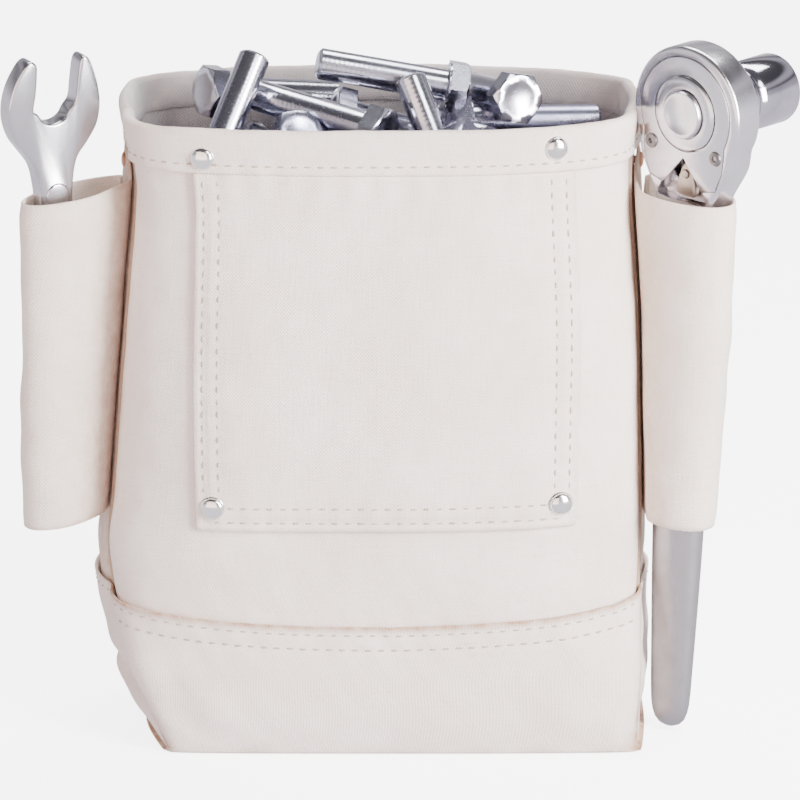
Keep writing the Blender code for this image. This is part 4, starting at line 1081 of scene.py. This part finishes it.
def frozen(obj, sharp=32):
    """The object with its modifiers applied, under the same name."""
    bpy.context.view_layer.update()
    mesh = bpy.data.meshes.new_from_object(obj.evaluated_get(bpy.context.evaluated_depsgraph_get()))
    obj.modifiers.clear()
    obj.data = mesh
    mesh.shade_smooth()
    mesh.set_sharp_from_angle(angle=math.radians(sharp))
    return obj


def rounded(obj, name, width, segments, angle, sharp):
    """The object with the edges past an angle rounded; the width is in millimetres."""
    edges = obj.modifiers.new(name, "BEVEL")
    edges.width = width * MM
    edges.segments = segments
    edges.limit_method = "ANGLE"
    edges.angle_limit = math.radians(angle)
    return frozen(obj, sharp)


def boolean(obj, other, operation="DIFFERENCE"):
    modifier = obj.modifiers.new(operation.lower(), "BOOLEAN")
    modifier.operation = operation
    modifier.object = other
    modifier.solver = "EXACT"
    frozen(obj)
    bpy.data.objects.remove(other, do_unlink=True)
    return obj


def curve_through(points, per=6, sharp=()):
    """A closed smooth line through points, with corners kept at the sharp ones."""
    p = np.asarray(points, float)
    count = len(p)
    line = []
    for i in range(count):
        a, b, c, d = p[i - 1], p[i], p[(i + 1) % count], p[(i + 2) % count]
        chord = np.linalg.norm(c - b)
        first = (c - b) if i in sharp else (c - a) * chord / (np.linalg.norm(b - a) + chord)
        last = (c - b) if (i + 1) % count in sharp else (d - b) * chord / (np.linalg.norm(d - c) + chord)
        for t in np.arange(per) / per:
            h = (2 * t**3 - 3 * t**2 + 1, t**3 - 2 * t**2 + t, 3 * t**2 - 2 * t**3, t**3 - t**2)
            line.append(h[0] * b + h[1] * first + h[2] * c + h[3] * last)
    return line


def plate(name, outline, y_front, y_back, finish, bevel=0.0, segments=3, sharp=32):
    """A flat plate from an outline in local XZ, in millimetres, with rounded rims."""
    bm = bmesh.new()
    face = bm.faces.new([bm.verts.new((x * MM, y_front * MM, z * MM)) for x, z in outline])
    bm.normal_update()
    if face.normal.y > 0:
        face.normal_flip()
    back = bmesh.ops.extrude_face_region(bm, geom=[face])
    moved = [v for v in back["geom"] if isinstance(v, bmesh.types.BMVert)]
    bmesh.ops.translate(bm, verts=moved, vec=(0, (y_back - y_front) * MM, 0))
    bmesh.ops.recalc_face_normals(bm, faces=bm.faces)
    mesh = bpy.data.meshes.new(name)
    bm.to_mesh(mesh)
    bm.free()
    mesh.materials.append(finish)
    obj = linked(name, mesh)
    if bevel:
        return rounded(obj, "rim", bevel, segments, 60, sharp)
    return frozen(obj, sharp)


def arc(x, z, radius, start, end, count):
    angles = np.radians(np.linspace(start, end, count))
    return [(x + radius * math.cos(a), z + radius * math.sin(a)) for a in angles]


TO_FACE = Matrix.Rotation(math.radians(90), 4, "X")  # takes local +Z to a tool's face, -Y


def faced(obj, x=0.0, z=0.0):
    """Turns a piece's mesh from local +Z to the tool's face and moves it in the face's plane."""
    obj.data.transform(Matrix.Translation((x * MM, 0, z * MM)) @ TO_FACE)
    return obj


def rod(name, radius, front, back, finish, sides=48, x=0.0, z=0.0, turn=0.0, round_edge=0.0):
    """A cylinder or prism about a line along local Y, from y = front to y = back."""
    angles = [turn + 2 * math.pi * k / sides for k in range(sides)]
    outline = [(radius * math.cos(a), radius * math.sin(a)) for a in angles]
    obj = plate(name, outline, front, back, finish, round_edge, 2)
    obj.data.transform(Matrix.Translation((x * MM, 0, z * MM)))
    return obj


def tool_matrix(head, end, turn):
    up = (head - end).normalized()
    face = Vector((math.sin(math.radians(turn)), -math.cos(math.radians(turn)), 0.0))
    back = (-face - up * up.dot(-face)).normalized()
    across = back.cross(up)
    rows = ((across.x, back.x, up.x), (across.y, back.y, up.y), (across.z, back.z, up.z))
    return Matrix.Translation(head) @ Matrix(rows).to_4x4()


def make_wrench():
    half = HEX_FLATS / 2
    outline = [(-6.6, -40), (-7.4, -30), (-9.2, -22), (-13.4, -15.5), (-17.4, -9.5), (-19.6, -2)]
    outline += [(-19.4, 5), (-17.2, 12), (-13.6, 17.8), (-11.4, 20.3), (-9.2, 21.2), (-7.2, 20)]
    outline += [(2.9 - half, 18), (2.0 - half, 8), (0.8 - half, 1)]
    outline += arc(0.0, 1.8, 7.2, 200, 340, 6)
    outline += [(half - 0.2, 2.4), (half + 0.9, 9), (half + 2.2, 16.8), (12.9, 19.3)]
    outline += [(14.6, 19.6), (16.1, 18), (18, 12.8), (19.6, 6), (20, -1), (18.4, -8.5)]
    outline += [(14, -15), (9.5, -20.5), (7.5, -28), (6.6, -40)]
    box_radius, neck_width = 12.3, 6.0
    neck = math.degrees(math.asin(neck_width / box_radius))
    outline += [(neck_width, -100)]
    outline += arc(0, WRENCH_BOX_Z, box_radius, 90 - neck, -270 + neck, 18) + [(-neck_width, -100)]
    body = plate("wrench_forging", curve_through(outline, 4), -4.2, 4.2, TOOL_CHROME, 1.7, 4, 40)
    panel = arc(0, -34.5, 5.0, 180, 0, 9) + [(4.4, -60), (4.2, -118)] + arc(0, -119, 4.2, 0, -180, 7)
    panel += [(-4.2, -118), (-4.4, -60)]
    raised = plate("wrench_panel", curve_through(panel, 3), -4.9, 4.9, TOOL_CHROME, 0.8, 3, 40)
    boolean(body, raised, "UNION")
    boss = rod("box_boss", 11.7, -4.8, 4.8, TOOL_CHROME, 64, z=WRENCH_BOX_Z, round_edge=0.5)
    boolean(body, boss, "UNION")
    star = []
    for k in range(24):
        radius = 11.1 if k % 2 == 0 else 10.1
        angle = math.radians(15 * k)
        star.append((radius * math.cos(angle), radius * math.sin(angle) + WRENCH_BOX_Z))
    boolean(body, plate("box_bore", star, -20, 20, TOOL_CHROME))
    rounded(body, "edges", 0.25, 2, 42, 40)
    body.matrix_world = tool_matrix(WRENCH_JAW, WRENCH_END, WRENCH_TURN)
    add_piece(body, "wrench", "satin_chrome", "wrench")


def cover_outline(grow=0.0):
    line = arc(0, 0, 22.3 + grow, -25, 205, 61)
    line += [(-19.6 - grow, -20), (-16.6 - grow, -27.6 - grow), (-9.8 + grow, -29.6 - grow)]
    line += [(0, -17.8 + grow * -1.5), (9.8 - grow, -29.6 - grow)]
    line += [(16.6 + grow, -27.6 - grow), (19.6 + grow, -20)]
    return line


def make_ratchet_body():
    lower = [(22.4, -20), (16.4, -31), (11.8, -41), (8.6, -50), (7.6, -57)]
    outline = arc(0, 0, 26.5, -27, 207, 31)
    outline += [(-x, z) for x, z in lower] + lower[::-1]
    count = len(outline)
    body = plate(
        "ratchet_casting", curve_through(outline, 4, sharp=(count - 6, count - 5)), -7, 7, CHROME, 4.0, 7, 30
    )
    profile = [(0, -36), (6, -36.4), (7.6, -44), (7.6, -75), (8.4, -105), (9.3, -117), (10.2, -128)]
    profile += [(11, -138), (11.4, -146), (11.6, -158), (11.5, -170), (11, -188), (10.4, -205), (9.7, -223)]
    profile += [(9.0, -240), (8.6, -245.5), (7.9, -249), (6.8, -251.8), (5, -253.8), (2.6, -254.9)]
    profile += [(0, -255.2)]
    handle = turned("ratchet_handle", profile, SATIN, 64)
    handle.data.transform(Matrix.Diagonal((1, 0.7, 1, 1)))
    boolean(body, rod("gear_pocket", 17.3, -20, 3.4, CHROME, 64))
    boolean(body, rod("drive_hole", 10.5, -20, 20, CHROME, 48))
    boolean(body, plate("cover_recess", cover_outline(0.35), -15.6, -5.6, CHROME))
    recess = curve_through([(0, -15.0), (-12.4, -33.2), (-11.0, -35.2), (11.0, -35.2), (12.4, -33.2)], 6)
    boolean(body, plate("selector_recess", recess, -20, -1.4, CHROME))
    boolean(body, rod("pawl_pocket", 10.2, -20, 3.4, CHROME, 32, z=-21))
    for x in (-16.3, 16.3):
        boolean(body, rod("screw_hole", 1.7, -20, 2.6, CHROME, 20, x=x, z=-14.5))
    rounded(body, "edges", 0.3, 2, 42, 35)
    return body, handle


def make_ratchet():
    place = tool_matrix(RATCHET_HEAD, RATCHET_END, RATCHET_TURN)
    body, handle = make_ratchet_body()
    cover = plate("gear_cover_plate", cover_outline(), -7.25, -5.7, CHROME, 0.3, 2)
    boolean(cover, rod("hub_hole", 15.4, -20, 0, CHROME, 96))
    hub = [(2.3, 4.4), (9.9, 4.4), (9.9, 8.1), (10.15, 8.4), (12.2, 8.55), (13.6, 8.35)]
    hub += [(14.5, 7.95), (14.9, 7.4), (14.9, 4.8), (16.9, 4.8), (16.9, -3.0), (10.1, -3.0), (10.1, -8.0)]
    hub += [(9.7, -8.4), (2.3, -8.4), (2.3, 4.4)]
    gear = faced(turned("drive_gear_hub", hub, CHROME, 96))
    corner = DRIVE_SQUARE / math.sqrt(2)
    square = rod("drive_square", corner, 6, 24.5, DARK_STEEL, 4, turn=math.pi / 4, round_edge=0.8)
    button = [(0, 8.75), (2.5, 8.8), (4.6, 9.0), (6.4, 9.4), (7.7, 9.85), (8.4, 10.1), (9.0, 10.0)]
    button += [(9.4, 9.4), (9.4, 6.8), (1.9, 6.8), (1.9, -18.5), (0, -18.5)]
    push = faced(turned("release_button_cap", button, CHROME, 96, 40))
    lever_line = [(-1.4, 4.2), (-3.6, -1), (-4.8, -7.0), (-3.4, -9.0)]
    lever_line += [(-x, z) for x, z in reversed(lever_line)]
    lever = plate("selector_lever_plate", curve_through(lever_line, 4), -4.9, -1.9, BROWN_STEEL, 0.6, 3)
    boolean(lever, rod("lever_bore", 1.9, -20, 20, BROWN_STEEL, 24))
    lever.data.transform(Matrix.Translation((0, 0, SELECTOR_Z * MM)))
    pin = rod("selector_pin_rivet", 1.6, -5.7, 5.0, BROWN_STEEL, 32, z=SELECTOR_Z, round_edge=0.5)
    pieces = [
        (body, "ratchet", "polished_chrome", ["ratchet_body"]),
        (handle, "ratchet", "satin_chrome", []),
        (cover, "ratchet", "polished_chrome", ["gear_cover"]),
        (gear, "drive", "polished_chrome", ["drive_gear"]),
        (square, "drive", "dark_steel", []),
        (push, "button", "polished_chrome", ["release_button"]),
        (lever, "selector", "dark_steel", ["selector_lever"]),
        (pin, "ratchet", "dark_steel", ["selector_pin"]),
    ]
    for x, side in ((-16.3, "left"), (16.3, "right")):
        head = [(0, 8.1), (1.9, 8.05), (2.7, 7.8), (3.0, 7.3), (1.3, 7.2), (1.3, -2.2), (0, -2.2)]
        screw = faced(turned("cover_screw_" + side + "_head", head, DARK_STEEL, 32), x, -14.5)
        boolean(screw, rod("screw_socket", 1.25, -20, -7.0, DARK_STEEL, 6, x=x, z=-14.5))
        pieces.append((screw, "ratchet", "dark_steel", ["cover_screw_" + side]))
    near, far = 9.0, 46.0
    line = [(0, -near), (11.6, -near), (12.4, -near - 0.5), (13.1, -near - 1.6), (13.1, -21.8), (12.9, -22.4)]
    line += [(12.6, -22.9), (12.6, -24.0), (13.0, -24.6), (13.9, -26.4), (13.9, -far + 1.4)]
    line += [(13.6, -far + 0.5), (12.9, -far), (0, -far)]
    socket = faced(turned("socket_barrel", line, SOCKET_CHROME, 96))
    corner = (DRIVE_SQUARE / 2 + 0.3) * math.sqrt(2)
    boolean(socket, rod("drive_bore", corner, 0, 27.5, SOCKET_CHROME, 4, turn=math.pi / 4))
    corner = (HEX_FLATS / 2 + 0.1) / math.cos(math.radians(30))
    boolean(socket, rod("hex_bore", corner, 27, 80, SOCKET_CHROME, 6))
    pieces.append((socket, "socket", "polished_chrome", ["socket"]))
    for obj, body_name, slot_name, nodes in pieces:
        obj.matrix_world = place
        add_piece(obj, body_name, slot_name, *nodes)
    for node, finish in (("pawl", DARK_STEEL), ("detent_ball", NICKEL)):
        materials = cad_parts[node].data.materials
        materials.clear()
        materials.append(finish)


# ------------------------------------------------------------------ rivets


def along_matrix(direction, origin, roll=0.0):
    turn = Vector(direction).to_track_quat("Z", "Y").to_matrix().to_4x4()
    return Matrix.Translation(Vector(origin)) @ turn @ Matrix.Rotation(roll, 4, "Z")


def rivet_profile(radius, height):
    """A domed cap with a rolled rim, its shank, and the burr inside the cloth, in millimetres."""
    dome = []
    for t in np.linspace(0, 1, 9):
        angle = t * math.pi / 2
        dome.append((radius * 0.93 * math.sin(angle), height * (0.12 + 0.88 * math.cos(angle))))
    rolled = [(radius * 0.97, height * 0.06), (radius, height * -0.02), (radius * 0.95, height * -0.16)]
    line = [(r, h + 2.3) for r, h in dome + rolled]
    return line + [(1.6, 1.9), (1.6, -2.2), (3.8, -2.3), (3.8, -3.2), (2.2, -3.5), (0, -3.6)]


def make_rivets():
    cap = turned("rivet_cap", rivet_profile(4.8, 2.3), NICKEL, 48, 50)
    seam = turned("seam_rivet_cap", rivet_profile(3.4, 1.4), COPPER, 36, 50)
    tops = ("top_left", "top_right", "bottom_left", "bottom_right")
    backs = ("top_right", "top_left", "bottom_right", "bottom_left")
    places = [("patch_rivet_" + w, cap, "front", u, z) for w, (u, z) in zip(tops, PATCH_RIVETS)]
    places += [("tunnel_rivet_" + w, cap, "back", u, z) for w, (u, z) in zip(backs, TUNNEL_RIVETS)]
    for side in ("left", "right"):
        u = SLEEVE_FLANGE_U[1] if side == "right" else 1 - SLEEVE_FLANGE_U[1]
        for where, z in zip(("top", "bottom"), SEAM_RIVET_Z):
            places.append((f"seam_rivet_{side}_{where}", seam, side, u, z))
    for i, (name, shape, side, u, z) in enumerate(places):
        point, normal = wall_row(side, [u], z * MM, 0.0)
        obj = linked(name + "_cap", shape.data)
        tilt = Vector(normal[0]) + Vector((0.03 * math.sin(2.1 * i), 0, 0.05 * math.cos(1.7 * i)))
        obj.matrix_world = along_matrix(tilt, point[0])
        add_piece(obj, "bag", "copper" if shape is seam else "nickel_plate", name)
    for shape in (cap, seam):
        bpy.data.objects.remove(shape, do_unlink=True)


# ------------------------------------------------------------------ bolts


def bolt_mesh(name, segments, rows_per_turn):
    """A half inch hex bolt, its head's seat at the origin and its thread down local -Z."""
    pitch, depth, threaded = 1.95, 0.02, 22.0  # the photo shows hardly any thread
    verts, faces = [], []
    angles = 2 * np.pi * np.arange(segments) / segments
    rings = []

    def ring(radii, heights):
        first = len(verts)
        r, h = np.broadcast_to(radii, angles.shape), np.broadcast_to(heights, angles.shape)
        verts.extend(zip(r * np.cos(angles) * MM, r * np.sin(angles) * MM, h * MM))
        rings.append(first)

    flat = HEX_FLATS / 2 / np.cos((angles + math.pi / 6) % (math.pi / 3) - math.pi / 6)
    chamfer = 9.1
    ring(chamfer * 0.62, HEX_HEIGHT - 0.35)
    ring(chamfer * 0.7, HEX_HEIGHT)
    ring(chamfer, HEX_HEIGHT)
    ring(flat, HEX_HEIGHT - 0.15 - np.maximum(flat - chamfer, 0) * 0.6)
    ring(flat, 0.5)
    ring(9.0, 0.4)
    ring(9.0, 0.0)
    ring(BOLT_RADIUS + 0.5, 0.0)
    ring(BOLT_RADIUS, -0.6)
    end = -BOLT_LENGTH + 0.3
    first_thread = end + threaded
    ring(BOLT_RADIUS, first_thread + 1.0)
    count = int(threaded / pitch * rows_per_turn)
    for k in range(count + 1):
        h = first_thread - (threaded - 1.3) * k / count
        phase = (h / pitch - angles / (2 * math.pi)) % 1.0
        cut = np.abs(phase * 2 - 1)
        ring(BOLT_RADIUS - depth * np.clip(cut * 1.25 - 0.1, 0, 1), h)
    ring(BOLT_RADIUS - 0.9, end + 0.5)
    ring(BOLT_RADIUS - 1.8, end)
    for a, b in zip(rings, rings[1:]):
        for j in range(segments):
            k = (j + 1) % segments
            faces.append((a + j, b + j, b + k, a + k))
    faces.append(tuple(range(segments)))
    faces.append(tuple(rings[-1] + j for j in range(segments))[::-1])
    obj = make_object(name, verts, faces, ZINC, sharp=38)
    mesh = obj.data
    bpy.data.objects.remove(obj, do_unlink=True)
    return mesh


def closest_points(p, d, q, e):
    """Parameters of the nearest points of two sets of segments p + s d and q + t e."""
    r = p - q
    a, b, c = np.sum(d * d, -1), np.sum(d * e, -1), np.sum(e * e, -1)
    f, g = np.sum(d * r, -1), np.sum(e * r, -1)
    bottom = np.maximum(a * c - b * b, 1e-12)
    s = np.clip((b * g - c * f) / bottom, 0, 1)
    t = np.clip((b * s + g) / c, 0, 1)
    s = np.clip((b * t - f) / a, 0, 1)
    return s, t


def kept_inside(ends, margin):
    """Points moved back inside the bag where they come nearer than a margin to its walls."""
    values, mouth = wall_values(ends[:, 2]), wall_values(237 * MM)[:, None]
    left = np.maximum(values[0], mouth[0]) + margin * 1.25
    right = np.minimum(values[1], mouth[1]) - margin * 1.25
    ends[:, 0] = np.clip(ends[:, 0], left, right)
    t = np.clip((ends[:, 0] - (left + right) / 2) / ((right - left) / 2), -0.999, 0.999)
    round_off = (1 - np.abs(t) ** 3) ** (1 / 3)
    front = np.maximum(values[2] - values[3] * round_off, mouth[2] - mouth[3] * round_off) + margin
    round_off = np.sqrt(1 - t**2)
    back = np.minimum(values[6] + values[7] * round_off, mouth[6] + mouth[7] * round_off) - margin
    ends[:, 1] = np.clip(ends[:, 1], front, back)
    ends[:, 2] = np.clip(ends[:, 2], 14 * MM, PILE_TOP)
    return ends


def settled_pile():
    """Heads and tips of the bolts under the loose ones: dropped in by a seeded draw, then pushed
    apart and pulled down until they lie on each other inside the walls."""
    draw = np.random.default_rng(11)
    count = PILE_BOLTS
    length = 50 * MM
    shank_gap, head_gap, fall = 13.0 * MM, 3.2 * MM, 0.1 * MM
    middle = np.stack(
        [draw.uniform(-86, 70, count), draw.uniform(-36, 36, count), draw.uniform(14, 236, count)], 1
    ) * MM
    way = draw.normal(size=(count, 3)) * (1.0, 0.8, 0.45)
    way /= np.linalg.norm(way, axis=1)[:, None]
    heads, tips = middle - way * length / 2, middle + way * length / 2
    fixed_heads = np.array([seat for seat, _ in LOOSE_BOLTS]) * MM
    fixed_tips = fixed_heads + np.array([Vector(t).normalized() for _, t in LOOSE_BOLTS]) * length
    first, second = np.triu_indices(count, 1)
    for _ in range(260):
        for others_p, others_q, i, j in (
            (heads, tips, first, second),
            (fixed_heads, fixed_tips, *[a.ravel() for a in np.indices((count, len(fixed_heads)))]),
        ):
            p, d = heads[i], tips[i] - heads[i]
            q, e = others_p[j], others_q[j] - others_p[j]
            s, t = closest_points(p, d, q, e)
            gap = (p + d * s[:, None]) - (q + e * t[:, None])
            distance = np.maximum(np.linalg.norm(gap, axis=1), 1e-6)
            need = shank_gap + head_gap * (np.maximum(1 - s, 1 - t) > 0.85)
            close = distance < need
            push = gap[close] / distance[close, None] * (need[close] - distance[close])[:, None] * 0.3
            s, t = s[close, None], t[close, None]
            np.add.at(heads, i[close], push * (1 - s))
            np.add.at(tips, i[close], push * s)
            if others_p is heads:
                np.add.at(heads, j[close], -push * (1 - t))
                np.add.at(tips, j[close], -push * t)
        heads[:, 2] -= fall
        tips[:, 2] -= fall
        heads, tips = kept_inside(heads, 14 * MM), kept_inside(tips, 10.5 * MM)
        centre, way = (heads + tips) / 2, tips - heads
        way /= np.linalg.norm(way, axis=1)[:, None]
        heads, tips = centre - way * length / 2, centre + way * length / 2
    return heads, tips


def joined_copies(name, mesh, matrices):
    """Copies of one mesh at several places, as one piece."""
    count = len(mesh.vertices)
    points = np.zeros(count * 3)
    mesh.vertices.foreach_get("co", points)
    points = np.c_[points.reshape(-1, 3), np.ones(count)]
    faces = [tuple(p.vertices) for p in mesh.polygons]
    verts, all_faces = [], []
    for i, matrix in enumerate(matrices):
        verts.append((points @ np.array(matrix).T)[:, :3])
        all_faces += [tuple(v + i * count for v in face) for face in faces]
    return make_object(name, np.concatenate(verts), all_faces, PILE_ZINC_SHADED, sharp=38)


def make_bolts():
    fine = bolt_mesh("hex_bolt_fine", 36, 5)
    for i, (seat, thread) in enumerate(LOOSE_BOLTS):
        name = f"hex_bolt_{i + 1:02d}"
        obj = linked(name + "_threaded", fine)
        obj.matrix_world = along_matrix(-Vector(thread), Vector(seat) * MM, roll=0.4 * i)
        add_piece(obj, "bolt_load", "bright_zinc", name)
    heads, tips = settled_pile()
    coarse = bolt_mesh("hex_bolt_coarse", 12, 2)
    matrices = []
    for i, (head, tip) in enumerate(zip(heads, tips)):
        matrices.append(along_matrix(Vector(head - tip), head, roll=0.7 * i))
    pile = joined_copies("bolt_pile", coarse, matrices)
    add_piece(pile, "bolt_load", "bright_zinc", "bolt_heap")


# ------------------------------------------------------------------ stage


def make_stage():
    mesh = bpy.data.meshes.new("floor")
    reach = 9.0
    corners = [(-reach, -reach, 0), (reach, -reach, 0), (reach, reach, 0), (-reach, reach, 0)]
    mesh.from_pydata(corners, [], [(0, 1, 2, 3)])
    paper = Nodes("floor_paper")
    paper.set(Base_Color=(0.96, 0.96, 0.96), Roughness=0.9)
    paper.set(Emission_Color=(1.0, 1.0, 1.0), Emission_Strength=FLOOR_GLOW)
    mesh.materials.append(paper.material)
    floor = linked("floor", mesh)
    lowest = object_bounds()[0].z
    gap = 0.2 * MM
    floor.location.z = min(0.0, lowest) - gap
    # Only the camera sees the glow: the world's lower half lights the object from below.
    floor.visible_diffuse = floor.visible_glossy = False


def make_light(name, place, target, size, power, colour=(1, 1, 1)):
    lamp = bpy.data.lights.new(name, "AREA")
    lamp.shape = "RECTANGLE"
    lamp.size, lamp.size_y = size
    lamp.energy = power
    lamp.color = colour
    obj = linked(name, lamp)
    obj.location = place
    obj.rotation_euler = (Vector(target) - Vector(place)).to_track_quat("-Z", "Y").to_euler()


def make_sun(direction, strength, spread_degrees, colour=(1, 1, 1)):
    lamp = bpy.data.lights.new("sun", "SUN")
    lamp.energy = strength
    lamp.angle = math.radians(spread_degrees)
    lamp.color = colour
    obj = linked("sun", lamp)
    obj.rotation_euler = Vector(direction).to_track_quat("-Z", "Y").to_euler()


def make_world():
    """Pale below and at the sides, with a dark band and a dark top, which bright metal needs."""
    world = bpy.data.worlds.new("studio")
    bpy.context.scene.world = world
    world.use_nodes = True
    tree = world.node_tree
    background = tree.nodes["Background"]
    coords = tree.nodes.new("ShaderNodeTexCoord")
    split = tree.nodes.new("ShaderNodeSeparateXYZ")
    tree.links.new(coords.outputs["Generated"], split.inputs[0])
    ramp = tree.nodes.new("ShaderNodeValToRGB")
    stops = [(0.0, 0.95), (0.04, 0.85), (0.12, 0.5), (0.26, 0.42), (0.33, 0.05), (0.42, 0.5), (0.5, 0.5)]
    stops += [(0.58, 0.06), (1.0, 0.12)]
    elements = ramp.color_ramp.elements
    while len(elements) < len(stops):
        elements.new(0.5)
    for element, (position, value) in zip(elements, stops):
        element.position = position
        element.color = (value, value * 0.96, value * 1.04, 1)
    tree.links.new(split.outputs["Z"], ramp.inputs["Fac"])
    tree.links.new(ramp.outputs["Color"], background.inputs["Color"])
    background.inputs["Strength"].default_value = 1.6


def make_camera():
    """The photograph's viewing angle: from in front, a little above."""
    pitch = math.radians(17.5)
    distance = 3.0
    target = Vector((0, 0, BAG_HEIGHT / 2))
    frame_width = 800
    data = bpy.data.cameras.new("camera")
    data.lens = 341.9  # fills the frame as the photo does, from that distance
    data.sensor_width = 36
    data.shift_x = -2.5 / frame_width
    data.shift_y = 8.0 / frame_width
    data.clip_end = 50
    camera = linked("camera", data)
    camera.location = target + Vector((0, -math.cos(pitch), math.sin(pitch))) * distance
    camera.rotation_euler = (math.pi / 2 - pitch, 0, 0)
    bpy.context.scene.camera = camera


make_walls()
make_base()
make_boot()
make_hem()
make_patch()
make_tunnel()
make_piping()
make_sleeves()
make_bartacks()
make_rivets()
make_wrench()
make_ratchet()
make_bolts()
make_stage()
make_sun((-0.62, 0.75, -0.85), 1.6, 20, (0.98, 0.99, 1.0))
make_light("key", (0.72, -0.64, 0.42), (0, 0, 0.13), (0.42, 0.6), 30)
make_light("front_fill", (-0.9, -2.4, 0.7), (0, 0, 0.1), (3.0, 2.0), 62, (1.0, 0.74, 0.62))
make_light("top", (0.1, 0.9, 2.2), (0, 0, 0.1), (2.0, 0.8), 80)
make_world()
make_camera()
